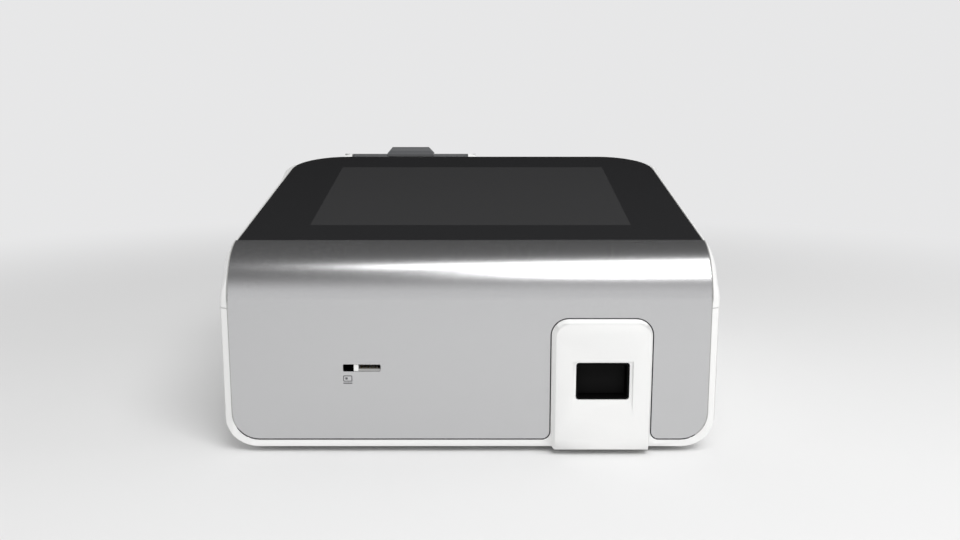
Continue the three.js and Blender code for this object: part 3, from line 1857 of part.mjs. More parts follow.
function buildDisplay() {
  const middle = glass.frontBorder + display.height / 2;
  const half = display.width / 2 + display.moduleSide;
  const y0 = glass.frontBorder - display.moduleEnd;
  const y1 = glass.frontBorder + display.height + display.moduleEnd;
  const top = -skinDepth - fit.gap;
  const bottom = top - display.moduleThickness;
  const module = onTopPlane(rectangle(-half, half, y0, y1), bottom, top);
  piece("display_module", module, finish.black);

  const border = display.bracketBorder;
  const lip = display.bracketLip;
  const sheetTop = bottom - fit.gap;
  const sheet = onTopPlane(
    rectangle(-half - lip, half + lip, y0, y1, lip),
    sheetTop - display.bracketSheet,
    sheetTop,
  );
  const hole = onTopPlane(
    rectangle(-half + border, half - border, y0 + border, y1 - border, border),
    sheetTop - display.bracketSheet - fit.overrun,
    sheetTop + fit.overrun,
  );
  const side = (x0, x1) => onTopPlane(rectangle(x0, x1, y0 + lip, y1 - lip), sheetTop - display.bracketSheet / 2, top);
  const flanges = joined(
    side(-half - lip, -half - lip + display.bracketSheet),
    side(half + lip - display.bracketSheet, half + lip),
  );
  piece("display_bracket", joined(sheet.subtract(hole), flanges), finish.steel);

  // The ribbon leaves the back of the display, hangs down and lies along the board to its connector
  const start = onTop(middle + display.bracketBorder, bottom - fit.gap - display.ribbonThickness / 2);
  const landing = connectorZ + display.ribbonThickness / 2;
  const bend = display.bracketBorder;
  const lower = new THREE.CubicBezierCurve(
    start,
    new THREE.Vector2(start.x + 2 * bend, start.y + bend / 2),
    new THREE.Vector2(start.x + 2 * bend, start.y - bend),
    new THREE.Vector2(start.x + bend, (start.y + landing) / 2),
  );
  const upper = new THREE.CubicBezierCurve(
    new THREE.Vector2(start.x + bend, (start.y + landing) / 2),
    new THREE.Vector2(start.x, landing + bend),
    new THREE.Vector2(boardFront + bend, landing),
    new THREE.Vector2(boardFront + 2 * bend, landing),
  );
  const points = [...lower.getPoints(facets.corner * 2), ...upper.getPoints(facets.corner * 2).slice(1)];
  const film = alongX(
    band(points, display.ribbonThickness),
    -display.ribbonWidth / 2,
    display.ribbonWidth / 2,
  );
  piece("display_ribbon", film, finish.film);
}

// The receipt printer

const wellAxisZ = paperZ - printer.rollDiameter / 2 - fit.gap + wellRadius;
const wellHalf = printer.rollWidth / 2 + printer.wellSide;

function wellOutline(wall, frontTop, rearTop) {
  const radius = wellRadius + wall;
  const base = wellAxisZ - radius;
  return outline([
    [paperY - radius, frontTop],
    [paperY - radius, base, radius - fit.gap, facets.well],
    [paperY + radius, base, radius - fit.gap, facets.well],
    [paperY + radius, rearTop],
  ]);
}

function buildPrinterWell() {
  const half = wellHalf + printer.wellWall;
  const left = printerX - half;
  const right = printerX + half;
  const tub = alongX(
    wellOutline(printer.wellWall, meet.y - printer.wellFrontDrop, meet.y - printer.wellRearDrop),
    left,
    right,
  );
  const over = lidFrontZ;
  const hollow = alongX(
    wellOutline(0, over, over),
    printerX - wellHalf,
    printerX + wellHalf,
  );
  // Ears reach out under the deck beside the opening, on arms that rise from the tub's ends
  const y0 = paperY;
  const y1 = paperY + wellRadius - printer.wellWall;
  const under = shell.wall + fit.gap;
  const ear = (x0, x1) =>
    alongX(
      outline([
        [y0, deckAt(y0, under + printer.earThickness)],
        [y1, deckAt(y1, under + printer.earThickness)],
        [y1, deckAt(y1, under)],
        [y0, deckAt(y0, under)],
      ]),
      x0,
      x1,
    );
  const web = (x0, x1) =>
    alongX(
      outline([
        [y0, wellAxisZ],
        [y1, wellAxisZ],
        [y1, deckAt(y1, under)],
        [y0, deckAt(y0, under)],
      ]),
      x0,
      x1,
    );
  const reach = openingHalf + printer.earWidth;
  const ears = joined(
    ear(printerX - reach, left + printer.wellWall),
    ear(right - printer.wellWall, printerX + reach),
    web(left, left + printer.wellWall),
    web(right - printer.wellWall, right),
  );
  piece("printer_well", tub.subtract(hollow).add(ears), finish.grey);
}

function buildPaperRoll() {
  const half = printer.rollWidth / 2;
  const y = paperY;
  const z = paperZ;
  const roll = rodX(
    printerX - half,
    printerX + half,
    y,
    z,
    printer.rollDiameter,
    facets.wheel,
  );
  const core = rodX(
    printerX - half - fit.overrun,
    printerX + half + fit.overrun,
    y,
    z,
    printer.rollCore,
  );
  piece("paper_roll", roll.subtract(core), finish.paper);
}

// The printer's frame, left and right sides named as seen from the front

const sideInner = wellHalf + printer.wellWall + fit.gap + fit.running / 2;
const sideOuter = sideInner + printFrame.sheet;
const gearInner = sideOuter + fit.running;
const gearOuter = gearInner + platen.gearWidth;
const idlerZ = platenZ - 2 * pitchRadius(platen.gearTeeth);
const motorReach = pitchRadius(platen.gearTeeth) + pitchRadius(printFrame.motorTeeth);
const printMotorY = platenY + motorReach * cos(printFrame.motorAngle);
const printMotorZ = idlerZ + motorReach * sin(printFrame.motorAngle);

function buildPrinterFrame() {
  const { sheet } = printFrame;
  const centre = printerX;
  const lugHalf = openingHalf + printFrame.lugOverlap;
  const front = block(centre - lugHalf, centre + lugHalf, frameWallY, frameWallY + sheet, frameBaseZ, frameWallZ);
  const wellFront = paperY - wellRadius - printer.wellWall;
  const base = block(
    centre - sideOuter,
    centre + sideOuter,
    frameWallY,
    wellFront - fit.gap,
    frameBaseZ,
    frameBaseZ + sheet,
  );
  const half = printFrame.notchWidth / 2;
  const plate = (bottom) =>
    outline([
      [frameWallY, bottom],
      [platenY + half + sheet, bottom],
      [frameRearY, wellAxisZ],
      [frameRearY, frameSideZ],
      [platenY + half, frameSideZ],
      [platenY + half, platenZ - half, half - fit.gap / 2, facets.small],
      [platenY - half, platenZ - half, half - fit.gap / 2, facets.small],
      [platenY - half, frameSideZ - sheet],
      [platenY - half - sheet, frameWallZ],
      [frameWallY, frameWallZ],
    ]);
  const left = alongX(plate(frameToeZ), centre - sideOuter, centre - sideInner);
  const right = alongX(plate(frameBaseZ), centre + sideInner, centre + sideOuter);
  const under = shell.wall + fit.gap;
  const lug = (x0, x1) =>
    alongX(
      outline([
        [frameWallY, frameWallZ - printFrame.lugThickness],
        [frameLugY, frameWallZ - printFrame.lugThickness],
        [frameLugY, deckAt(frameLugY, under)],
        [slabBack.x + fit.gap, deckAt(slabBack.x + fit.gap, under)],
        [frameWallY, frameWallZ],
      ]),
      x0,
      x1,
    );
  const lugs = joined(
    lug(centre - lugHalf, centre - openingHalf - fit.gap),
    lug(centre + openingHalf + fit.gap, centre + lugHalf),
  );
  const pin = rodX(
    centre - gearOuter,
    centre - sideInner,
    platenY,
    idlerZ,
    printFrame.idlerPin,
  );
  const shaftHole = rodX(
    centre - sideOuter - fit.overrun,
    centre - sideInner + fit.overrun,
    printMotorY,
    printMotorZ,
    printFrame.motorShaft + 2 * fit.running,
  );
  piece(
    "printer_frame",
    joined(front, base, left, right, lugs, pin).subtract(shaftHole),
    finish.steel,
  );
}

function buildPrintHead() {
  const x0 = printerX - headHalf;
  const x1 = printerX + headHalf;
  const plate = block(x0, x1, headFace, headBack, headBottomZ, headTopZ);
  const sink = block(
    x0,
    x1,
    headFace - printFrame.sinkThickness,
    headBack,
    headBottomZ,
    sinkTopZ,
  );
  piece("print_head", plate.add(sink), finish.brass);

  const springY0 = frameWallY + printFrame.sheet + fit.gap;
  const springY1 = headFace - printFrame.sinkThickness - fit.gap;
  for (const [name, side] of Object.entries({ head_spring_left: -1, head_spring_right: 1 })) {
    const x = printerX + side * printFrame.springX;
    const spring = rodY(x, springY0, springY1, headSpringZ, printFrame.springDiameter, facets.small * 4);
    piece(name, spring, finish.steel);
  }
}

function buildPrinterDrive() {
  const centre = printerX;
  const x0 = centre - gearOuter;
  const x1 = centre - gearInner;
  // The idler's tooth points up into the gap of the platen gear, and a gap points at the motor
  const idler = alongX(gearOutline(platenY, idlerZ, platen.gearTeeth, PI / 2), x0 + fit.gap, x1);
  const idlerBore = rodX(x0 - fit.overrun, x1 + fit.overrun, platenY, idlerZ, printFrame.idlerPin + 2 * fit.gap);
  piece("idler_gear", idler.subtract(idlerBore), finish.acetal);

  const idlerStep = (2 * PI) / platen.gearTeeth;
  const offset = ((printFrame.motorAngle - PI / 2) / idlerStep) % 1;
  const toothAt =
    printFrame.motorAngle + PI + (2 * PI * (1 / 2 + offset)) / printFrame.motorTeeth;
  const gear = alongX(
    gearOutline(printMotorY, printMotorZ, printFrame.motorTeeth, toothAt),
    x0 + fit.gap,
    x1,
  );
  const shaft = rodX(
    x0 + fit.gap,
    centre - sideInner + fit.gap,
    printMotorY,
    printMotorZ,
    printFrame.motorShaft,
    8,
  );
  piece("printer_motor_gear", gear.add(shaft), finish.brass);

  const motorX = centre - sideInner + 2 * fit.gap;
  const can = rodX(
    motorX,
    motorX + printFrame.motorLength,
    printMotorY,
    printMotorZ,
    printFrame.motorDiameter,
  );
  piece("printer_motor", can, finish.steel);
}

// The platen roller turns in the lid's arms, and its gear meets the idler when the lid is closed

const armOuter = wellHalf + printer.wellWall - fit.gap;
const armInner = armOuter - lid.armThickness;
const rollerHalf = armInner - lid.armInset;

function buildPlaten() {
  const centre = printerX;
  const roller = rodX(
    centre - rollerHalf,
    centre + rollerHalf,
    platenY,
    platenZ,
    platen.diameter,
    facets.wheel,
  );
  const shaft = rodX(
    centre - gearInner + fit.gap,
    centre + sideOuter,
    platenY,
    platenZ,
    platen.shaftDiameter,
  );
  piece("platen_roller", roller.add(shaft), finish.rubber);
  const gapAt = -PI / 2 + PI / platen.gearTeeth;
  const gear = alongX(
    gearOutline(platenY, platenZ, platen.gearTeeth, gapAt),
    centre - gearOuter + fit.gap,
    centre - gearInner,
  );
  piece("platen_gear", gear, finish.acetal);
}

// The lid, its latch lever and the hinge

const latchHinge = {
  y: lidFrontY + latch.length - latch.hingeInset,
  z: lidPlaneAt(lidFrontY + latch.length - latch.hingeInset, lid.thickness + latch.hingeDrop),
};
const notchHalf = latch.baseWidth / 2 + fit.gap;

function buildLid() {
  const centre = printerX;
  const half = lidWidth / 2;
  const y0 = lidFrontY;
  const y1 = lidHingeY + lid.tail;
  const plate = alongX(
    outline([
      [y0, lidPlaneAt(y0, lid.lipDepth)],
      [y0 + lid.lipThickness, lidPlaneAt(y0 + lid.lipThickness, lid.lipDepth)],
      [y0 + lid.lipThickness, lidPlaneAt(y0 + lid.lipThickness, lid.thickness)],
      [y1, lidPlaneAt(y1, lid.thickness)],
      [y1, lidPlaneAt(y1, 0), lid.thickness / 2, facets.small],
      [y0, lidPlaneAt(y0, 0), lid.thickness / 2, facets.small],
    ]),
    centre - half,
    centre + half,
  );
  const skirtShape = outline([
    [y0, lidPlaneAt(y0, lid.lipDepth)],
    [lidHingeY - lid.knuckleDiameter, lidPlaneAt(lidHingeY - lid.knuckleDiameter, lid.skirt)],
    [lidHingeY - lid.knuckleDiameter, lidPlaneAt(lidHingeY - lid.knuckleDiameter, lid.thickness / 2)],
    [y0, lidPlaneAt(y0, lid.thickness / 2)],
  ]);
  const skirts = joined(
    alongX(skirtShape, centre - half, centre - half + lid.skirtThickness),
    alongX(skirtShape, centre + half - lid.skirtThickness, centre + half),
  );
  const knuckle = (x0, x1) => rodX(x0, x1, lidHingeY, hingeZ, lid.knuckleDiameter);
  const edge = half - lid.knuckleInset;
  const knuckles = joined(
    knuckle(centre - edge, centre - edge + lid.knuckleLength),
    knuckle(centre + edge - lid.knuckleLength, centre + edge),
  );
  const armShape = outline([
    [platenY - lid.armWidth / 2, platenZ, lid.armWidth / 2 - fit.gap, facets.small],
    [platenY - lid.armWidth / 2, platenZ - lid.armWidth / 2, lid.armWidth / 2 - fit.gap, facets.small],
    [platenY + lid.armWidth / 2, platenZ - lid.armWidth / 2, lid.armWidth / 2 - fit.gap, facets.small],
    [platenY + lid.armWidth / 2, lidPlaneAt(platenY + lid.armWidth / 2, lid.thickness / 2)],
    [platenY - lid.armWidth / 2, lidPlaneAt(platenY - lid.armWidth / 2, lid.thickness / 2)],
  ].slice(1));
  const arms = joined(
    alongX(armShape, centre - armOuter, centre - armInner),
    alongX(armShape, centre + armInner, centre + armOuter),
  );
  const notch = block(
    centre - notchHalf,
    centre + notchHalf,
    y0 - fit.overrun,
    y0 + latch.length + fit.running,
    platenZ,
    latchTopZ + fit.overrun,
  );
  // Two ears under the lid beside the notch hold the latch pin
  const earRadius = latch.hingeDrop + latch.pinDiameter / 2;
  const earShape = outline([
    [latchHinge.y - earRadius, latchHinge.z - earRadius, earRadius / 2, facets.small],
    [latchHinge.y + earRadius, latchHinge.z - earRadius, earRadius / 2, facets.small],
    [latchHinge.y + earRadius, lidPlaneAt(latchHinge.y + earRadius, lid.thickness / 2)],
    [latchHinge.y - earRadius, lidPlaneAt(latchHinge.y - earRadius, lid.thickness / 2)],
  ]);
  const ears = joined(
    alongX(earShape, centre - notchHalf - latch.earThickness, centre - notchHalf),
    alongX(earShape, centre + notchHalf, centre + notchHalf + latch.earThickness),
  );
  const pinHole = rodX(
    centre - half,
    centre + half,
    lidHingeY,
    hingeZ,
    lid.pinDiameter + 2 * fit.gap,
  );
  const latchHole = rodX(
    centre - notchHalf - latch.earThickness - fit.overrun,
    centre + notchHalf + latch.earThickness + fit.overrun,
    latchHinge.y,
    latchHinge.z,
    latch.pinDiameter + 2 * fit.gap,
  );
  const shaftHole = rodX(
    centre - armOuter - fit.overrun,
    centre + armOuter + fit.overrun,
    platenY,
    platenZ,
    platen.shaftDiameter + 2 * fit.gap,
  );
  const made = joined(plate.subtract(notch), skirts, knuckles, arms, ears);
  piece("printer_lid", made.subtract(joined(pinHole, latchHole, shaftHole)), finish.grey);

  const pinHalf = openingHalf + lid.pinEngagement;
  const pin = rodX(centre - pinHalf, centre + pinHalf, lidHingeY, hingeZ, lid.pinDiameter);
  piece("lid_hinge_pin", pin, finish.steel);
  const latchPin = rodX(
    centre - notchHalf - latch.earThickness,
    centre + notchHalf + latch.earThickness,
    latchHinge.y,
    latchHinge.z,
    latch.pinDiameter,
  );
  piece("latch_pin", latchPin, finish.steel);
}

function buildLatch() {
  const centre = printerX;
  const y0 = lidFrontY;
  const baseHalf = latch.baseWidth / 2;
  const topHalf = latch.topWidth / 2;
  const y1 = latchHinge.y + latch.hingeInset - fit.running;
  const under = (y) => lidPlaneAt(y, latch.plate);
  const lever = alongX(
    outline([
      [y0, under(y0)],
      [latchHinge.y, under(latchHinge.y)],
      [y1 - latch.plate, under(y1 - latch.plate)],
      [y1, lidPlaneAt(y1, latch.plate / 2)],
      [y1, lidPlaneAt(y1, 0)],
      [latchTopY + latch.crown, latchTopZ - latch.crown / 4, latch.crown / 2],
      [latchTopY, latchTopZ, latch.fingerDepth / 2, facets.small],
      [y0 + latch.fingerDepth, lidPlaneAt(y0, -latch.fingerDepth), latch.fingerDepth / 2, facets.small],
      [y0, lidPlaneAt(y0, 0)],
    ]),
    centre - baseHalf,
    centre + baseHalf,
  );
  const low = under(latchHinge.y);
  const crownBase = lidPlaneAt(y0, 0);
  const taper = alongY(
    outline([
      [centre - baseHalf, low],
      [centre + baseHalf, low],
      [centre + baseHalf, crownBase],
      [centre + topHalf, latchTopZ],
      [centre - topHalf, latchTopZ],
      [centre - baseHalf, crownBase],
    ]),
    y0 - fit.overrun,
    y1 + fit.overrun,
  );
  const boss = rodX(
    centre - baseHalf,
    centre + baseHalf,
    latchHinge.y,
    latchHinge.z,
    latch.pinDiameter + 2 * latch.hingeDrop,
  );
  const bossZone = block(
    centre - baseHalf,
    centre + baseHalf,
    y0,
    y1,
    platenZ,
    lidPlaneAt(latchHinge.y, latch.plate / 2),
  );
  const hole = rodX(
    centre - baseHalf - fit.overrun,
    centre + baseHalf + fit.overrun,
    latchHinge.y,
    latchHinge.z,
    latch.pinDiameter + 2 * fit.gap,
  );
  const made = lever.intersect(taper).add(boss.intersect(bossZone)).subtract(hole);
  piece("lid_latch", made, finish.grey);
}

// The whole instrument

const outerCase = caseForm(0, 0);
const caseCavity = cavityForm();
buildLowerHousing(outerCase, caseCavity);
buildUpperHousing(outerCase, caseCavity);
buildFrontPanel();
buildPortLiner();
buildTouchGlass();
buildDisplay();
buildTray();
buildCartridgeClip();
buildRack();
buildTrayBed();
buildReductionGear();
buildGearAxle();
buildDriveMotor();
buildMotorPinion();
buildOpticsBlock();
buildOpticalParts();
buildHomeSensor();
buildIdReader();
buildMainBoard();
buildRearSockets();
buildPowerSwitch();
buildSpeaker();
buildPrinterWell();
buildPaperRoll();
buildPrinterFrame();
buildPrintHead();
buildPrinterDrive();
buildPlaten();
buildLid();
buildLatch();
buildFeet();
buildHousingScrews();

export default instrument;
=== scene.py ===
"""Looks of a bench-top rapid test reader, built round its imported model.

Each sub-assembly is a class that holds its sizes in millimetres and makes, dresses and
reports its own pieces. New surfaces are numpy grids or profiles carried along a path.
"""

from __future__ import annotations

import json
import logging
import math
from contextlib import contextmanager
from dataclasses import dataclass
from enum import Enum
from typing import Callable, Iterator, Sequence, Union

import bmesh
import bpy
import numpy as np
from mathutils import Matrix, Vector

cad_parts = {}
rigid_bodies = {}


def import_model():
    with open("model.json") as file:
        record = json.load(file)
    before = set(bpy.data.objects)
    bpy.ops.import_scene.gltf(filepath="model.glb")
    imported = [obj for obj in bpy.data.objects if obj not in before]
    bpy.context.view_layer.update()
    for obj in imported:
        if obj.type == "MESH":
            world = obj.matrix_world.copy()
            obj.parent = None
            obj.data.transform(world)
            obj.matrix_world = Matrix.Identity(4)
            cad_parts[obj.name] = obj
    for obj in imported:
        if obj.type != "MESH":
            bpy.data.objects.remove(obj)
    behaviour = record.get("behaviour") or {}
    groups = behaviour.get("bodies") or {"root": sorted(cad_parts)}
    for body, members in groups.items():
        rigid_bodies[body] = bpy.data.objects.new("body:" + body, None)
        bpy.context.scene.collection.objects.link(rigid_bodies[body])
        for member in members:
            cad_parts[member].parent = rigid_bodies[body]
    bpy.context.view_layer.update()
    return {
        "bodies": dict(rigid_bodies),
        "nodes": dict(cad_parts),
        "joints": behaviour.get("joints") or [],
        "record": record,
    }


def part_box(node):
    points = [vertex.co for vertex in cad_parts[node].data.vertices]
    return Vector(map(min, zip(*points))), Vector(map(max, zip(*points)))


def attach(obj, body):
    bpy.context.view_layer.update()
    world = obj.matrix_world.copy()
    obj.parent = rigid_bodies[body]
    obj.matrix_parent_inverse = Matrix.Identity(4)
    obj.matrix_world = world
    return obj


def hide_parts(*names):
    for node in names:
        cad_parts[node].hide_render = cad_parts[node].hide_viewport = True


MM = 0.001
# A full and a quarter turn
TURN = 2.0 * math.pi
QUARTER = math.pi / 2.0
# Points of a new mesh, and of a copied one, that are merged when they lie this close, in metres
MERGE_NEW = 1e-7
MERGE_CAST = 2e-6
# Neighbouring faces of a copied mesh that turn less than this are one face
FLAT_TURN = math.radians(0.4)
# Facets of a plate's rounded rim and of a rounded edge
RIM_FACETS = 3
EDGE_FACETS = 2
# A rounded edge is at least this many roundings long, and the sides of its faces this many
EDGE_ROOM = 4.0
FACE_ROOM = 2.5
# How far a turned form's middle points lie off its axis, in millimetres, so that its rings stay apart
OFF_AXIS = 1e-4
# The least cosine that an outline's corner counts with when it is inset
LEAST_COSINE = 0.3
# How much a face's size, against its corners' angles, counts in its share of the shading
SIZE_WEIGHT = 60

log = logging.getLogger("reader")
Array = np.ndarray
Colour = tuple[float, float, float]
Value = Union["Wire", float, int, Sequence[float]]
# The colour of the plain backdrop
PALE: Colour = (0.8, 0.8, 0.805)


@dataclass(frozen=True)
class CaseSizes:
    """The sizes that several sub-assemblies share, in millimetres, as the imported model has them."""

    front_y: float = -134.4988
    roll_radius: float = 25.4
    roll_z: float = 74.3
    tilt: float = math.radians(10.0)
    port_x: float = 62.0
    paper_y: float = 101.0288
    paper_z: float = 93.9674

    @property
    def roll_y(self) -> float:
        """Where the axis of the rolled front edge lies, front to back."""
        return self.front_y + self.roll_radius

    @property
    def crest_y(self) -> float:
        """Where the roll meets the tilted top, front to back."""
        return self.roll_y - self.roll_radius * math.sin(self.tilt)


SIZES = CaseSizes()


# Shader maths


def operator(operation: str, swapped: bool = False) -> Callable[..., Wire]:
    """A wire's method that adds one Math node.

    Args:
        operation: What the node does.
        swapped: Whether the other value comes first, as in a reflected form.

    Returns:
        The method.
    """

    def apply(wire: Wire, other: Value = 0.0) -> Wire:
        """The operation on the wire and the other value."""
        first, second = (other, wire) if swapped else (wire, other)
        graph = wire.graph
        return graph.wire(graph.node("ShaderNodeMath", {"operation": operation}, {0: first, 1: second}))

    return apply


@dataclass(frozen=True)
class Wire:
    """A node's output that Python's operators work on."""

    graph: Graph
    socket: bpy.types.NodeSocket

    __add__ = operator("ADD")
    __radd__ = operator("ADD", True)
    __sub__ = operator("SUBTRACT")
    __rsub__ = operator("SUBTRACT", True)
    __mul__ = operator("MULTIPLY")
    __rmul__ = operator("MULTIPLY", True)
    __pow__ = operator("POWER")
    __gt__ = operator("GREATER_THAN")
    __lt__ = operator("LESS_THAN")
    __abs__ = operator("ABSOLUTE")
    # The sine of a wire in radians, and a wire's place within repeats of one step, from 0 to step
    sine = operator("SINE")
    repeat = operator("FLOORED_MODULO")

    def length_with(self, other: Wire) -> Wire:
        """The distance from the origin to the point (self, other)."""
        return (self * self + other * other) ** 0.5

    def ramp(self, low: float, high: float) -> Wire:
        """A smooth step from 0 at low to 1 at high."""
        made = self.graph.node(
            "ShaderNodeMapRange",
            {"interpolation_type": "SMOOTHSTEP"},
            {"Value": self, "From Min": low, "From Max": high},
        )
        return self.graph.wire(made)


class Graph:
    """One material's or world's node tree."""

    def __init__(self, tree: bpy.types.NodeTree) -> None:
        """Takes over a tree and empties it.

        Args:
            tree: The node tree to write in.
        """
        self.tree = tree
        tree.nodes.clear()

    def node(
        self,
        kind: str,
        settings: dict[str, str] | None = None,
        sockets: dict[str | int, Value] | None = None,
    ) -> bpy.types.Node:
        """Adds a node, its settings first and then its sockets.

        Args:
            kind: The node's Blender type.
            settings: Attributes to set.
            sockets: Values or wires, by socket name or number.

        Returns:
            The new node.
        """
        made = self.tree.nodes.new(kind)
        for name, value in (settings or {}).items():
            setattr(made, name, value)
        for key, value in (sockets or {}).items():
            target = made.inputs[key]
            if isinstance(value, Wire):
                self.tree.links.new(value.socket, target)
            elif hasattr(value, "__len__") and len(value) == 3 and len(target.default_value) == 4:
                target.default_value = (*value, 1.0)
            else:
                target.default_value = value
        return made

    def wire(self, node: bpy.types.Node, output: str | int = 0) -> Wire:
        """One of a node's outputs as a wire."""
        return Wire(self, node.outputs[output])

    def place(self) -> tuple[Wire, Wire, Wire]:
        """The point on the piece in metres, as three wires."""
        split = self.node("ShaderNodeSeparateXYZ", None, {0: self.point()})
        return self.wire(split, 0), self.wire(split, 1), self.wire(split, 2)

    def point(self) -> Wire:
        """The point on the piece in metres, as one vector."""
        return self.wire(self.node("ShaderNodeTexCoord"), "Object")

    def stretched(self, scale: Sequence[float]) -> Wire:
        """The point on the piece, scaled along each axis."""
        return self.wire(self.node("ShaderNodeMapping", None, {"Vector": self.point(), "Scale": scale}))

    def noise(self, scale: float, detail: float = 3.0, vector: Wire | None = None) -> Wire:
        """Cloudy noise from 0 to 1.

        Args:
            scale: Cells to the metre.
            detail: Octaves.
            vector: Where it is read, if not at the point itself.

        Returns:
            The noise's value.
        """
        where = vector or self.point()
        sockets = {"Vector": where, "Scale": scale, "Detail": detail, "Roughness": 0.55}
        return self.wire(self.node("ShaderNodeTexNoise", None, sockets))

    def cells(self, scale: float) -> Wire:
        """The distance to the nearest of a cloud of scattered points."""
        return self.wire(self.node("ShaderNodeTexVoronoi", None, {"Vector": self.point(), "Scale": scale}))

    def mix(self, factor: Value, first: Value, second: Value) -> Wire:
        """A colour between two.

        Args:
            factor: 0 gives the first, 1 the second.
            first: A colour or a wire.
            second: A colour or a wire.

        Returns:
            The mixed colour.
        """
        made = self.node("ShaderNodeMix", {"data_type": "RGBA"}, {0: factor, 6: first, 7: second})
        return self.wire(made, 2)

    def bump(self, height: Wire, distance: float, strength: float, normal: Wire | None = None) -> Wire:
        """A normal tilted by a height.

        Args:
            height: The height, from 0 to 1.
            distance: What a height of 1 is, in millimetres.
            strength: How much of it shows.
            normal: The normal that it starts from.

        Returns:
            The new normal.
        """
        sockets: dict[str | int, Value] = {"Height": height, "Distance": distance * MM, "Strength": strength}
        if normal is not None:
            sockets["Normal"] = normal
        return self.wire(self.node("ShaderNodeBump", None, sockets))

    def principled(self, **sockets: Value) -> Wire:
        """The principled shader, with sockets named in snake case."""
        named = {name.replace("_", " ").title().replace("Ior", "IOR"): v for name, v in sockets.items()}
        return self.wire(self.node("ShaderNodeBsdfPrincipled", None, named))

    def surface(self, **sockets: Value) -> None:
        """The principled shader and the material's output."""
        self.node("ShaderNodeOutputMaterial", None, {"Surface": self.principled(**sockets)})

    def background_seen(self) -> Wire:
        """1 for the rays that may see the plain pale background."""
        path = self.node("ShaderNodeLightPath")
        straight = self.wire(path, "Is Camera Ray") + self.wire(path, "Is Glossy Ray")
        return straight + self.wire(path, "Is Transmission Ray")

    def choice(self, factor: Wire, first: Wire, second: Wire) -> Wire:
        """The first shader where the factor is 0, the second where it is 1."""
        return self.wire(self.node("ShaderNodeMixShader", None, {0: factor, 1: first, 2: second}))


def linear(red: int, green: int, blue: int) -> Colour:
    """A screen colour from 0 to 255 as linear light."""
    share = np.array([red, green, blue]) / 255.0
    light = np.where(share <= 0.04045, share / 12.92, ((share + 0.055) / 1.055) ** 2.4)
    return tuple(float(v) for v in light)


def shade(colour: Colour, share: float) -> Colour:
    """A colour made darker, or lighter where the share is above 1."""
    return tuple(c * share for c in colour)


# Finishes: noise cells are counted to the metre, and pitches, sizes and depths are in millimetres


@dataclass(frozen=True)
class Finish:
    """A surface finish: a name, and a material that is made once."""

    name: str

    def material(self) -> bpy.types.Material:
        """The finish's material."""
        made = bpy.data.materials.get(self.name)
        if made is None:
            made = bpy.data.materials.new(self.name)
            made.use_nodes = True
            self.paint(Graph(made.node_tree))
        return made

    def paint(self, graph: Graph) -> None:
        """Fills the material's tree."""
        raise NotImplementedError


@dataclass(frozen=True)
class PaleFloor(Finish):
    """Matt pale paint that turns into the plain backdrop away from the object."""

    colour: Colour = (0.8, 0.8, 0.8)
    cloud_cells: float = 3.0
    fade: tuple[float, float] = (0.3, 0.85)

    def paint(self, graph: Graph) -> None:
        """A faint cloud on the paint, which gives way to the backdrop over the fade, in metres."""
        cloud = graph.noise(self.cloud_cells)
        base = graph.mix(cloud * 0.3, self.colour, shade(self.colour, 0.97))
        near = graph.principled(base_color=base, roughness=0.8, specular_ior_level=0.1)
        far = graph.wire(graph.node("ShaderNodeEmission", None, {"Color": PALE, "Strength": 1.0}))
        x, y, _ = graph.place()
        away = x.length_with(y).ramp(*self.fade) * graph.background_seen()
        graph.node("ShaderNodeOutputMaterial", None, {"Surface": graph.choice(away, near, far)})


@dataclass(frozen=True)
class BlackCard(Finish):
    """Black card that fades to the backdrop's colour low down in front of the object."""

    dark: Colour = (0.004, 0.004, 0.004)
    light: Colour = (0.008, 0.008, 0.008)
    nap_cells: float = 40.0
    fade: tuple[float, float] = (0.2, 1.7)

    def paint(self, graph: Graph) -> None:
        """A faint nap, and in front a glow that falls to nothing over the fade's heights, in metres."""
        base = graph.mix(graph.noise(self.nap_cells, 2.0), self.dark, self.light)
        _, y, z = graph.place()
        lit = (1.0 - z.ramp(*self.fade)) * (y < 0.0)
        glow = graph.mix(lit, (0.0, 0.0, 0.0), PALE)
        black = {"base_color": base, "roughness": 0.95, "specular_ior_level": 0.0}
        graph.surface(**black, emission_color=glow, emission_strength=1.0)


@dataclass(frozen=True)
class Moulded(Finish):
    """Moulded plastic: a fine spark-eroded grain, a faint mottle and slightly polished high spots."""

    colour: Colour = (0.8, 0.8, 0.8)
    roughness: float = 0.4
    grain: float = 0.012
    grain_size: float = 0.4
    mottle: float = 0.1
    coat: float = 0.0
    gloss: float = 0.5
    cloud_cells: float = 28.0
    smear_cells: float = 9.0
    grain_swing: float = 0.12
    smear_swing: float = 0.1

    def paint(self, graph: Graph) -> None:
        """Colour with a faint cloud, roughness that follows the grain, and the grain as a bump."""
        cloud = graph.noise(self.cloud_cells, 4.0)
        base = graph.mix(cloud.ramp(0.35, 0.7), self.colour, shade(self.colour, 1.0 - self.mottle))
        grain = graph.noise(1.0 / (self.grain_size * MM), 2.0)
        smear = graph.noise(self.smear_cells, 5.0)
        rough = self.roughness + (grain - 0.5) * self.grain_swing + (smear - 0.5) * self.smear_swing
        graph.surface(
            base_color=base,
            roughness=rough,
            normal=graph.bump(grain, self.grain, 0.8),
            coat_weight=self.coat,
            coat_roughness=0.2,
            specular_ior_level=self.gloss,
        )


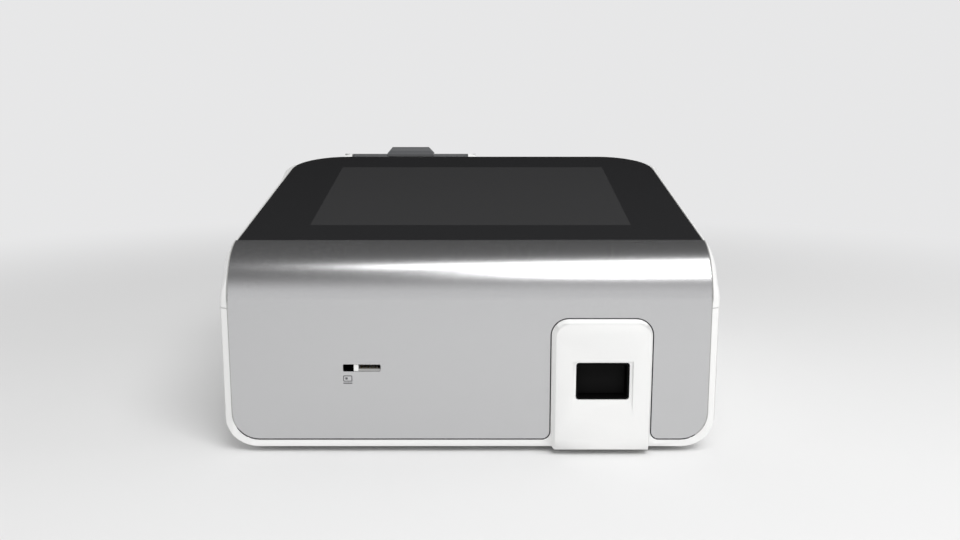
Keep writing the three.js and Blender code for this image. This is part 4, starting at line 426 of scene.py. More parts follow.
@dataclass(frozen=True)
class SilverLacquer(Finish):
    """Satin silver lacquer: fine flakes in a binder, under a thin clear coat with a little orange peel."""

    colour: Colour = (0.5, 0.5, 0.5)
    flake_size: float = 0.09
    flake_depth: float = 0.0022
    peel_cells: float = 420.0
    peel_depth: float = 0.004

    def paint(self, graph: Graph) -> None:
        """Each flake has its own shade and tilt; a long soft wave stands for the orange peel."""
        flake = graph.cells(1.0 / (self.flake_size * MM))
        base = graph.mix(flake.ramp(0.1, 0.8), shade(self.colour, 1.07), shade(self.colour, 0.9))
        peel = graph.noise(self.peel_cells, 2.0)
        rough = 0.25 + (flake - 0.4) * 0.06 + (graph.noise(12.0, 4.0) - 0.5) * 0.05
        wavy = graph.bump(peel, self.peel_depth, 0.4)
        graph.surface(
            base_color=base,
            metallic=0.88,
            roughness=rough,
            normal=graph.bump(flake, self.flake_depth, 0.5, wavy),
            coat_weight=0.18,
            coat_roughness=0.25,
        )


@dataclass(frozen=True)
class TouchGlass(Finish):
    """Black-backed cover glass: a printed black border, and a lighter window where the display is."""

    border: Colour = (0.023, 0.023, 0.024)
    window: Colour = (0.042, 0.042, 0.043)
    half_width: float = 81.0
    start: float = 24.1
    length: float = 121.5
    soft_edge: float = 0.25
    grid_pitch: float = 0.5

    def paint(self, graph: Graph) -> None:
        """The window is a rectangle in x and in the length along the tilted glass, with a fine grid."""
        x, y, _ = graph.place()
        along = (y - SIZES.crest_y * MM) * (1.0 / math.cos(SIZES.tilt))
        side, near, far = self.half_width * MM, self.start * MM, (self.start + self.length) * MM
        edge = self.soft_edge * MM
        across = abs(x).ramp(side + edge, side - edge)
        inside = across * along.ramp(near - edge, near + edge) * along.ramp(far + edge, far - edge)
        wave = TURN / (self.grid_pitch * MM)
        grid = (x * wave).sine() * (along * wave).sine() * 0.5 + 0.5
        lit = graph.mix(grid * 0.12, self.window, shade(self.window, 1.25))
        base = graph.mix(inside, self.border, lit)
        smear = graph.noise(22.0, 6.0).ramp(0.45, 0.85)
        rough = 0.085 + smear * 0.05 + inside * 0.03
        graph.surface(base_color=base, roughness=rough, ior=1.33, specular_ior_level=0.32)


@dataclass(frozen=True)
class Metal(Finish):
    """Bare metal with fine lines along one axis, given as noise cells along x, y and z."""

    colour: Colour = (0.6, 0.6, 0.61)
    roughness: float = 0.32
    lines: tuple[float, float, float] = (30.0, 3000.0, 3000.0)
    depth: float = 0.004

    def paint(self, graph: Graph) -> None:
        """Noise drawn out along the lines shades the colour, the roughness and the height."""
        line = graph.noise(1.0, 3.0, graph.stretched(self.lines))
        base = graph.mix(line.ramp(0.3, 0.75), self.colour, shade(self.colour, 0.78))
        stain = graph.noise(60.0, 4.0)
        rough = self.roughness + (line - 0.5) * 0.25 + (stain - 0.5) * 0.12
        relief = graph.bump(line, self.depth, 0.6)
        graph.surface(base_color=base, metallic=1.0, roughness=rough, normal=relief)


@dataclass(frozen=True)
class CircuitBoard(Finish):
    """Solder mask over copper tracks, with small tinned pads on a grid."""

    mask: Colour = (0.012, 0.075, 0.03)
    tin: Colour = (0.62, 0.6, 0.52)
    pitch: float = 2.54
    track: float = 0.16
    pad: float = 0.42

    def paint(self, graph: Graph) -> None:
        """Tracks are lines that a noise bends and breaks; pads are discs on the pitch grid."""
        x, y, _ = graph.place()
        step = self.pitch * MM
        sway = graph.noise(55.0, 1.0)
        track = abs((y + sway * (3.0 * step)).repeat(step / 2.0) - step / 4.0) < self.track * MM
        open_track = track * (graph.noise(38.0, 0.0) > 0.5)
        lit = graph.mix(open_track * 0.6, self.mask, tuple(c * 2.2 + 0.01 for c in self.mask))
        dot = (x.repeat(step) - step / 2.0).length_with(y.repeat(step) - step / 2.0) < self.pad * MM
        pad = dot * (graph.noise(90.0, 0.0) > 0.56)
        base = graph.mix(pad, lit, self.tin)
        rough = 0.32 - pad * 0.08 + graph.noise(400.0, 1.0) * 0.08
        relief = graph.bump(open_track, 0.02, 0.5)
        graph.surface(base_color=base, metallic=pad * 0.9, roughness=rough, normal=relief)


@dataclass(frozen=True)
class Rubber(Finish):
    """Matt black rubber with a dusty bloom."""

    colour: Colour = (0.016, 0.016, 0.017)
    dust: Colour = (0.09, 0.088, 0.085)
    depth: float = 0.03

    def paint(self, graph: Graph) -> None:
        """Dust lies in the noise's high spots and lifts the colour and the roughness."""
        dust = graph.noise(320.0, 5.0).ramp(0.45, 0.8)
        base = graph.mix(dust * 0.35, self.colour, self.dust)
        rough = 0.72 + dust * 0.2
        relief = graph.bump(graph.noise(2600.0, 2.0), self.depth, 0.6)
        graph.surface(base_color=base, roughness=rough, normal=relief)


@dataclass(frozen=True)
class Paper(Finish):
    """A wound roll of thermal paper: its layers show as rings on the ends."""

    colour: Colour = (0.86, 0.86, 0.83)
    layer: float = 0.32

    def paint(self, graph: Graph) -> None:
        """The distance from the roll's axis, in layers, makes the rings; fibres are fine noise."""
        _, y, z = graph.place()
        radius = (y - SIZES.paper_y * MM).length_with(z - SIZES.paper_z * MM)
        ring = (radius * (TURN / (self.layer * MM))).sine() * 0.5 + 0.5
        fibre = graph.noise(2400.0, 3.0)
        base = graph.mix(ring * 0.35 + fibre * 0.1, self.colour, shade(self.colour, 0.72))
        normal = graph.bump(ring, 0.04, 0.5, graph.bump(fibre, 0.01, 0.4))
        graph.surface(base_color=base, roughness=0.62 + fibre * 0.2, normal=normal)


@dataclass(frozen=True)
class AmberFilm(Finish):
    """Polyimide film with fine copper lines running along it."""

    colour: Colour = (0.42, 0.16, 0.03)
    copper: Colour = (0.5, 0.24, 0.09)
    pitch: float = 1.0
    line: float = 0.26

    def paint(self, graph: Graph) -> None:
        """Lines repeat across x, half a line's width being a share of the pitch; the film is glossy."""
        x, _, _ = graph.place()
        step = self.pitch * MM
        line = abs(x.repeat(step) - 0.5 * step) < self.line * step
        base = graph.mix(line, self.colour, self.copper)
        rough = 0.28 + graph.noise(70.0, 3.0) * 0.1
        relief = graph.bump(line, 0.015, 0.5)
        graph.surface(base_color=base, metallic=line * 0.7, roughness=rough, normal=relief)


@dataclass(frozen=True)
class ClearOptic(Finish):
    """Polished optical glass with a faint coating tint."""

    colour: Colour = (0.75, 0.86, 0.92)
    tint: Colour = (0.86, 0.78, 0.9)

    def paint(self, graph: Graph) -> None:
        """A tint that drifts slowly over a clear, sharp gloss."""
        drift = graph.noise(120.0, 2.0)
        base = graph.mix(drift, self.colour, self.tint)
        graph.surface(base_color=base, roughness=0.03 + drift * 0.02, transmission_weight=0.6, ior=1.5)


class Look(Enum):
    """The finishes of this instrument."""

    WHITE = Moulded("white_moulding", linear(240, 240, 239), roughness=0.36, grain=0.006, mottle=0.012)
    SILVER = SilverLacquer("satin_silver", linear(204, 204, 205))
    GLASS = TouchGlass("cover_glass")
    # Near black, darker than black plastic itself: it paints the shade inside the port's mouth and the key
    # slot
    BLACK_WITH_PAINTED_SHADE = Moulded("black_moulding_painted_shade", (0.0018, 0.0018, 0.0019), roughness=0.7, grain=0.02, gloss=0.06)
    # Near black, darker than black plastic itself: it paints the shade on the tray deep in the port's mouth
    TRAY = Moulded("tray_black_painted_shade", (0.0034, 0.0034, 0.0035), roughness=0.55, grain=0.02, gloss=0.09)
    LEDGE = Moulded("pale_grey_moulding", linear(168, 168, 166), grain=0.01, grain_size=0.3, mottle=0.06)
    INK = Moulded("grey_ink", linear(96, 96, 98), roughness=0.5, grain=0.004, grain_size=0.1)
    LENS = Moulded("light_window", (0.55, 0.6, 0.5), roughness=0.14, grain=0.002, grain_size=0.2, coat=0.4)
    GOLD = Metal("gilt_contact", (0.88, 0.66, 0.3), 0.24, lines=(500.0, 4000.0, 4000.0), depth=0.002)
    BLACK = Moulded("black_moulding", linear(24, 24, 25), roughness=0.42, grain_size=0.35)
    LID = Moulded(
        "grey_moulding", linear(84, 85, 87), roughness=0.48, grain=0.03, grain_size=0.55, mottle=0.08
    )
    STEEL = Metal("drawn_steel", (0.62, 0.62, 0.63), roughness=0.3)
    ZINC = Metal("plated_sheet", (0.66, 0.66, 0.68), 0.36, lines=(900.0, 900.0, 900.0), depth=0.006)
    BRASS = Metal("turned_brass", (0.78, 0.58, 0.27), roughness=0.3, lines=(2600.0, 60.0, 60.0))
    CERAMIC = Moulded(
        "head_ceramic", linear(214, 205, 186), roughness=0.3, grain=0.004, grain_size=0.3, mottle=0.05
    )
    ACETAL = Moulded(
        "natural_acetal", linear(228, 224, 212), roughness=0.38, grain=0.006, grain_size=0.5, mottle=0.04
    )
    RUBBER = Rubber("matt_rubber")
    BOARD = CircuitBoard("green_board")
    FILM = AmberFilm("amber_film")
    OPTIC = ClearOptic("polished_optic")
    PAPER = Paper("wound_paper")


# The CAD nodes that stay in view in each finish
NODE_LOOKS: dict[Look, str] = {
    Look.BLACK_WITH_PAINTED_SHADE: "port_liner tray_bed optics_block",
    Look.TRAY: "cartridge_tray",
    Look.BLACK: "dc_jack power_switch_body power_rocker speaker printer_frame",
    Look.STEEL: "usb_port_right usb_port_left lan_port lid_hinge_pin latch_pin gear_axle"
    " printer_motor drive_motor housing_screw_1 housing_screw_2 housing_screw_3 housing_screw_4"
    " board_screw_1 board_screw_2 board_screw_3 board_screw_4",
    Look.ZINC: "display_bracket processor_shield display_module",
    Look.BRASS: "motor_pinion printer_motor_gear",
    Look.ACETAL: "tray_rack reduction_gear idler_gear platen_gear cartridge_clip printer_well",
    Look.CERAMIC: "print_head excitation_led",
    Look.RUBBER: "platen_roller",
    Look.BOARD: "detector_board home_sensor id_board main_board",
    Look.FILM: "display_ribbon",
    Look.OPTIC: "objective_lens emission_filter",
    Look.PAPER: "paper_roll",
}


# Outlines


def rounded(corners: Sequence[Sequence[float]], steps: int) -> Array:
    """An outline whose corners may be rounded.

    At a corner with a radius r, whose sides turn by an angle, the arc starts and ends r times the
    tangent of half that angle from the corner, and its centre lies on the bisector.

    Args:
        corners: (x, y) or (x, y, radius), in order.
        steps: Facets of each arc.

    Returns:
        An array of points, two columns.
    """
    made = []
    places = np.array([c[:2] for c in corners], float)
    for index, corner in enumerate(corners):
        here = places[index]
        radius = corner[2] if len(corner) > 2 else 0.0
        if radius <= 0.0:
            made.append(here[None, :])
            continue
        back = places[index - 1] - here
        ahead = places[(index + 1) % len(places)] - here
        back, ahead = back / np.linalg.norm(back), ahead / np.linalg.norm(ahead)
        half = math.acos(float(np.clip(back @ ahead, -1.0, 1.0))) / 2.0
        middle = (back + ahead) / np.linalg.norm(back + ahead)
        centre = here + middle * radius / math.sin(half)
        start = here + back * radius / math.tan(half) - centre
        end = here + ahead * radius / math.tan(half) - centre
        turn = math.atan2(start[0] * end[1] - start[1] * end[0], start @ end)
        angle = np.linspace(0.0, turn, steps + 1)[:, None]
        square = np.array([-start[1], start[0]])
        made.append(centre + (start * np.cos(angle) + square * np.sin(angle)))
    return np.concatenate(made)


def rectangle(x0: float, x1: float, y0: float, y1: float, radius: float = 0.0, steps: int = 6) -> Array:
    """A rectangle with rounded corners, counter-clockwise."""
    return rounded([(x0, y0, radius), (x1, y0, radius), (x1, y1, radius), (x0, y1, radius)], steps)


def circle(radius: float, sides: int) -> Array:
    """A circle about the origin, counter-clockwise."""
    angle = np.arange(sides) * (TURN / sides)
    return radius * np.stack([np.cos(angle), np.sin(angle)], 1)


def inset(outline: Array, distance: float) -> Array:
    """An outline moved inwards.

    Each point moves along the bisector of its two edges' inward normals, by the distance over the
    cosine of half the angle between them.

    Args:
        outline: A counter-clockwise outline.
        distance: How far, outwards where negative.

    Returns:
        The moved outline.
    """
    before = outline - np.roll(outline, 1, 0)
    after = np.roll(outline, -1, 0) - outline
    normals = [np.stack([-e[:, 1], e[:, 0]], 1) / np.linalg.norm(e, axis=1)[:, None] for e in (before, after)]
    middle = normals[0] + normals[1]
    middle /= np.linalg.norm(middle, axis=1)[:, None]
    reach = distance / np.clip((middle * normals[0]).sum(1), LEAST_COSINE, 1.0)
    return outline + middle * reach[:, None]


def smooth(share: Array) -> Array:
    """The smooth step s squared times (3 - 2 s) of a share s, kept between 0 and 1."""
    kept = np.clip(share, 0.0, 1.0)
    return kept * kept * (3.0 - 2.0 * kept)


@dataclass(frozen=True)
class Frame:
    """Where a drawn shape lies: two drawing directions, the direction it is carried in, and its origin."""

    first: Sequence[float]
    second: Sequence[float]
    third: Sequence[float]
    origin: Sequence[float] = (0.0, 0.0, 0.0)

    def place(self, drawn: Array, height: float) -> Array:
        """Points (u, v) at a height, in space: origin + u * first + v * second + height * third."""
        flat = drawn[..., :1] * np.array(self.first) + drawn[..., 1:2] * np.array(self.second)
        return flat + height * np.array(self.third) + np.array(self.origin)


# Drawn on the floor, on the front and on the rear
FLOOR = Frame((1, 0, 0), (0, 1, 0), (0, 0, 1))
FACE = Frame((1, 0, 0), (0, 0, 1), (0, -1, 0))
BACK = Frame((-1, 0, 0), (0, 0, 1), (0, 1, 0))


# Meshes


@contextmanager
def editing(mesh: bpy.types.Mesh) -> Iterator[bmesh.types.BMesh]:
    """A mesh's editable copy, which goes back into the mesh at the end."""
    work = bmesh.new()
    work.from_mesh(mesh)
    yield work
    work.to_mesh(mesh)
    work.free()


def linked(name: str, data: bpy.types.ID) -> bpy.types.Object:
    """A new object of the scene with a mesh, lamp or camera."""
    made = bpy.data.objects.new(name, data)
    bpy.context.scene.collection.objects.link(made)
    return made


def read_points(mesh: bpy.types.Mesh) -> Array:
    """A mesh's points in millimetres, three columns."""
    points = np.empty(len(mesh.vertices) * 3)
    mesh.vertices.foreach_get("co", points)
    return points.reshape(-1, 3) / MM


def write_points(mesh: bpy.types.Mesh, points: Array) -> None:
    """Moves a mesh's points to places in millimetres."""
    mesh.vertices.foreach_set("co", (points * MM).ravel())
    mesh.update()


def cut(
    work: bmesh.types.BMesh, faces: list[bmesh.types.BMFace], point: Sequence[float], normal: Sequence[float]
) -> None:
    """Cuts some of a mesh's faces along a plane.

    Args:
        work: The mesh.
        faces: The faces that are cut where the plane crosses them.
        point: A point of the plane, in metres.
        normal: The plane's normal.
    """
    parts = dict.fromkeys(part for face in faces for part in (*face.verts, *face.edges))
    bmesh.ops.bisect_plane(work, geom=[*parts, *faces], plane_co=point, plane_no=normal, dist=MERGE_NEW)


def grid_faces(rows: int, columns: int, closed: bool) -> list[tuple[int, ...]]:
    """Quads between the rows of a grid of points.

    Args:
        rows: How many rings.
        columns: Points of each ring.
        closed: Whether each ring closes on itself.

    Returns:
        The quads, facing out where rings run counter-clockwise seen from the last one.
    """
    across = columns if closed else columns - 1
    row, column = np.meshgrid(np.arange(rows - 1), np.arange(across), indexing="ij")
    here, above = row * columns, (row + 1) * columns
    after = (column + 1) % columns
    quads = np.stack([here + column, here + after, above + after, above + column], -1)
    return [tuple(quad) for quad in quads.reshape(-1, 4).tolist()]


class Shape:
    """Points in millimetres and faces, gathered before they become one piece."""

    def __init__(self) -> None:
        """Starts empty."""
        self.points: list[Array] = []
        self.faces: list[tuple[int, ...]] = []
        self.count = 0

    def add(self, points: Array, faces: list[tuple[int, ...]]) -> Shape:
        """Adds points and faces numbered from 0.

        Args:
            points: N rows of x, y, z.
            faces: Tuples of point numbers.

        Returns:
            The shape itself.
        """
        flat = points.reshape(-1, 3)
        self.points.append(flat)
        self.faces += [tuple(i + self.count for i in face) for face in faces]
        self.count += len(flat)
        return self

    def rings(self, rings: Array, capped: bool = True) -> Shape:
        """Adds a skin over closed rings.

        Args:
            rings: Rings by points by x, y, z.
            capped: Whether the first and the last ring are closed by a face.

        Returns:
            The shape itself.
        """
        rows, columns = rings.shape[:2]
        faces = grid_faces(rows, columns, True)
        if capped:
            faces.append(tuple(range(columns - 1, -1, -1)))
            faces.append(tuple(range((rows - 1) * columns, rows * columns)))
        return self.add(rings, faces)

    def plate(self, outline: Array, frame: Frame, low: float, high: float, edge: float = 0.0) -> Shape:
        """Adds a drawn outline carried from one height to another.

        Near the ends the outline is inset by edge * (1 - cos a) at a depth of edge * (1 - sin a), so
        that both rims are rounded.

        Args:
            outline: A counter-clockwise outline.
            frame: Where it is drawn.
            low: The first height.
            high: The last height.
            edge: The rims' radius.

        Returns:
            The shape itself.
        """
        moves, heights = np.zeros(2), np.array([low, high])
        if edge > 0.0:
            angle = np.linspace(0.0, QUARTER, RIM_FACETS + 1)
            inward = edge * (1.0 - np.cos(angle))
            depths = edge * (1.0 - np.sin(angle))
            moves = np.concatenate([inward[::-1], inward])
            heights = np.concatenate([low + depths[::-1], high - depths])
        return self.rings(
            np.stack([frame.place(inset(outline, m) if m else outline, h) for m, h in zip(moves, heights)])
        )

    def loop(self, outer: Array, inner: Array, frame: Frame, low: float, high: float) -> Shape:
        """Adds a flat ring between two outlines of as many points, carried from one height to another."""
        around = ((outer, low), (outer, high), (inner, high), (inner, low), (outer, low))
        return self.rings(np.stack([frame.place(outline, height) for outline, height in around]), False)

    def turned(self, profile: Sequence[Sequence[float]], frame: Frame, sides: int) -> Shape:
        """Adds a turned form.

        A point of radius r and height h goes to (r cos a, r sin a, h) for each angle a.

        Args:
            profile: (radius, height) pairs from the start to the end of the axis.
            frame: Its third direction and origin are the axis.
            sides: Facets round the axis.

        Returns:
            The shape itself.
        """
        unit = circle(1.0, sides)
        return self.rings(np.stack([frame.place(unit * max(r, OFF_AXIS), h) for r, h in profile]))

    def tube(self, path: Array, radius: float | Array, sides: int = 8) -> Shape:
        """Adds a round wire along a path.

        At each point a circle lies in the plane of two directions square to the path's tangent.

        Args:
            path: Points of the centreline.
            radius: The wire's radius, alike all along or one for each point.
            sides: Facets round it.

        Returns:
            The shape itself.
        """
        tangent = np.gradient(path, axis=0)
        tangent /= np.linalg.norm(tangent, axis=1)[:, None]
        helper = np.where(np.abs(tangent[:, :1]) < 0.9, np.array([[1.0, 0, 0]]), np.array([[0, 1.0, 0]]))
        first = np.cross(tangent, helper)
        first /= np.linalg.norm(first, axis=1)[:, None]
        second = np.cross(tangent, first)
        unit = circle(1.0, sides)
        around = unit[None, :, :1] * first[:, None] + unit[None, :, 1:] * second[:, None]
        return self.rings(path[:, None] + np.reshape(radius, (-1, 1, 1)) * around)

    def object(self, name: str) -> bpy.types.Object:
        """Makes the mesh object, in metres, with its doubles merged and its normals turned out."""
        mesh = bpy.data.meshes.new(name)
        mesh.from_pydata((np.concatenate(self.points) * MM).tolist(), [], self.faces)
        with editing(mesh) as work:
            bmesh.ops.remove_doubles(work, verts=work.verts, dist=MERGE_NEW)
            bmesh.ops.recalc_face_normals(work, faces=work.faces)
        return linked(name, mesh)

    def finish(
        self, name: str, look: Look, angle: float, replaces: Sequence[str] = (), body: str = "case"
    ) -> None:
        """Makes the piece, smooths it and hands it over.

        Args:
            name: The piece's name.
            look: Its finish.
            angle: Edges that turn more than this, in degrees, stay sharp.
            replaces: CAD nodes that it stands for.
            body: The CAD body that carries it.
        """
        piece = self.object(name)
        soften(piece, angle)
        hand_over(piece, look, replaces, body)


def soften(piece: bpy.types.Object, angle: float, edge: float = 0.0) -> None:
    """Shades a piece smoothly between its sharp edges, and may round these.

    Args:
        piece: The mesh object.
        angle: Edges that turn more than this, in degrees, are sharp.
        edge: The rounding's width in millimetres, or 0 for none.
    """
    mesh = piece.data
    mesh.polygons.foreach_set("use_smooth", np.ones(len(mesh.polygons), bool))
    mesh.set_sharp_from_angle(angle=math.radians(angle))
    if edge > 0.0:
        mark_edges(mesh, angle, edge)
        bevel = piece.modifiers.new("rounded_edges", "BEVEL")
        bevel.width = edge * MM
        bevel.segments = EDGE_FACETS
        bevel.limit_method = "WEIGHT"
        bevel.use_clamp_overlap = False
        bevel.harden_normals = False
    weighted = piece.modifiers.new("even_normals", "WEIGHTED_NORMAL")
    weighted.keep_sharp = True
    weighted.weight = SIZE_WEIGHT


def mark_edges(mesh: bpy.types.Mesh, angle: float, edge: float) -> None:
    """Marks the edges that are rounded: sharp ones, with room for the rounding on both of their faces.

    Args:
        mesh: The mesh.
        angle: Edges that turn more than this, in degrees, are sharp.
        edge: The rounding's width in millimetres.
    """
    work = bmesh.new()
    work.from_mesh(mesh)
    room = FACE_ROOM * edge * MM
    tight = {face for face in work.faces if min(side.calc_length() for side in face.edges) < room}
    weights = [
        float(
            side.calc_face_angle(0.0) > math.radians(angle)
            and side.calc_length() > EDGE_ROOM * edge * MM
            and not tight.intersection(side.link_faces)
        )
        for side in work.edges
    ]
    work.free()
    mesh.attributes.new("bevel_weight_edge", "FLOAT", "EDGE").data.foreach_set("value", weights)
    sharp = np.empty(len(mesh.edges), bool)
    mesh.edges.foreach_get("use_edge_sharp", sharp)
    mesh.edges.foreach_set("use_edge_sharp", sharp & (np.array(weights) < 0.5))


def cast(node: str) -> bpy.types.Object:
    """A merged copy of a CAD node, for a piece that keeps its form.

    Args:
        node: The CAD node's name.

    Returns:
        A new object named after the node.
    """
    mesh = bpy.data.objects[node].data.copy()
    with editing(mesh) as work:
        bmesh.ops.remove_doubles(work, verts=work.verts, dist=MERGE_CAST)
        bmesh.ops.dissolve_limit(work, angle_limit=FLAT_TURN, verts=work.verts, edges=work.edges)
    mesh.materials.clear()
    return linked(node + "_form", mesh)


def hand_over(piece: bpy.types.Object, look: Look, replaces: Sequence[str] = (), body: str = "case") -> None:
    """Dresses a piece, lets it ride on its body and reports it.

    Args:
        piece: The finished object.
        look: Its finish.
        replaces: CAD nodes that it stands for.
        body: The CAD body that carries it.
    """
    piece.data.materials.append(look.value.material())
    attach(piece, body)
    if replaces:
        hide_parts(*replaces)
    log.info("%s rides on %s in %s, %d faces", piece.name, body, look.value.name, len(piece.data.polygons))


# Sub-assemblies


@dataclass
class Studio:
    """Floor, lamps, backdrop, dark card and camera."""

    focal: float = 949.0
    frame_width: float = 960.0
    film: float = 36.0
    clip: tuple[float, float] = (0.01, 80.0)
    pitch: float = math.radians(80.0)
    eye: tuple[float, float, float] = (4.8, -566.0, 164.4)
    floor_size: float = 40.0
    sky: float = 0.49
    card_radius: float = 2400.0
    card_half: float = 3000.0
    card_from: float = 14.0
    card_to: float = 176.0
    card_rows: int = 33

    def build(self) -> None:
        """Makes everything that isn't the object."""
        self.floor()
        self.lamps()
        self.dark_card()
        self.backdrop()
        self.camera()
        bpy.context.scene.view_settings.view_transform = "Standard"

    def floor(self) -> None:
        """A large square floor."""
        half = self.floor_size / 2.0 / MM
        corners = np.array([[-half, -half, 0], [half, -half, 0], [half, half, 0], [-half, half, 0]], float)
        plane = Shape().add(corners, [(0, 1, 2, 3)]).object("floor")
        plane.data.materials.append(PaleFloor("pale_floor").material())

    def lamps(self) -> None:
        """Large soft lamps: in front, at each side, and one high up that draws the line along the roll.

        Each has its place and aim in metres, its sides in metres and its power in watts.
        """
        for name, place, aim, width, height, power in (
            ("front", (0.5, -1.05, 1.15), (0.0, 0.0, 0.06), 0.9, 0.5, 11.0),
            ("left", (-1.3, -0.2, 0.7), (0.0, 0.0, 0.06), 0.9, 0.9, 1.2),
            ("right", (1.3, 0.1, 0.8), (0.0, 0.0, 0.06), 0.9, 0.9, 2.5),
            ("high", (0.2, -0.5, 1.02), (0.0, -0.12, 0.09), 0.86, 0.17, 2.6),
        ):
            lamp = bpy.data.lights.new(name, "AREA")
            lamp.shape = "RECTANGLE"
            lamp.size = width
            lamp.size_y = height
            lamp.energy = power
            made = linked(name, lamp)
            made.location = place
            made.visible_camera = False
            made.rotation_euler = (Vector(aim) - Vector(place)).to_track_quat("-Z", "Y").to_euler()

    def dark_card(self) -> None:
        """A curved black card over the object, from behind it to the front, where it fades to pale.

        Only gloss sees it: it keeps the glass deep, and lets the roll darken gently over the pale front.

        Its point at an angle and a share across lies at (share * half, radius * cos, radius * sin).
        """
        angle = np.radians(np.linspace(self.card_from, self.card_to, self.card_rows))[:, None]
        across = np.array([-1.0, 1.0])[None, :] * self.card_half
        along, up = self.card_radius * np.cos(angle), self.card_radius * np.sin(angle)
        arc = np.stack(np.broadcast_arrays(across, along, up), -1)
        card = Shape().add(arc, grid_faces(self.card_rows, 2, False)).object("dark_card")
        card.data.materials.append(BlackCard("black_card").material())
        card.visible_camera = False
        card.visible_diffuse = False
        card.visible_transmission = False
        card.visible_shadow = False

    def backdrop(self) -> None:
        """A pale world for the camera and for gloss, and a dimmer one for the light on the object."""
        world = bpy.data.worlds.new("studio")
        bpy.context.scene.world = world
        world.use_nodes = True
        graph = Graph(world.node_tree)
        dim, pale = (
            graph.wire(graph.node("ShaderNodeBackground", None, {"Color": colour, "Strength": strength}))
            for colour, strength in (((1, 1, 1), self.sky), (PALE, 1.0))
        )
        both = graph.choice(graph.background_seen(), dim, pale)
        graph.node("ShaderNodeOutputWorld", None, {"Surface": both})

    def camera(self) -> None:
        """The photograph's view: its focal length in pixels, its height and its downward pitch."""
        data = bpy.data.cameras.new("view")
        data.lens = self.focal / self.frame_width * self.film
        data.sensor_width = self.film
        data.clip_start, data.clip_end = self.clip
        made = linked("view", data)
        made.location = tuple(v * MM for v in self.eye)
        made.rotation_euler = (self.pitch, 0.0, 0.0)
        bpy.context.scene.camera = made


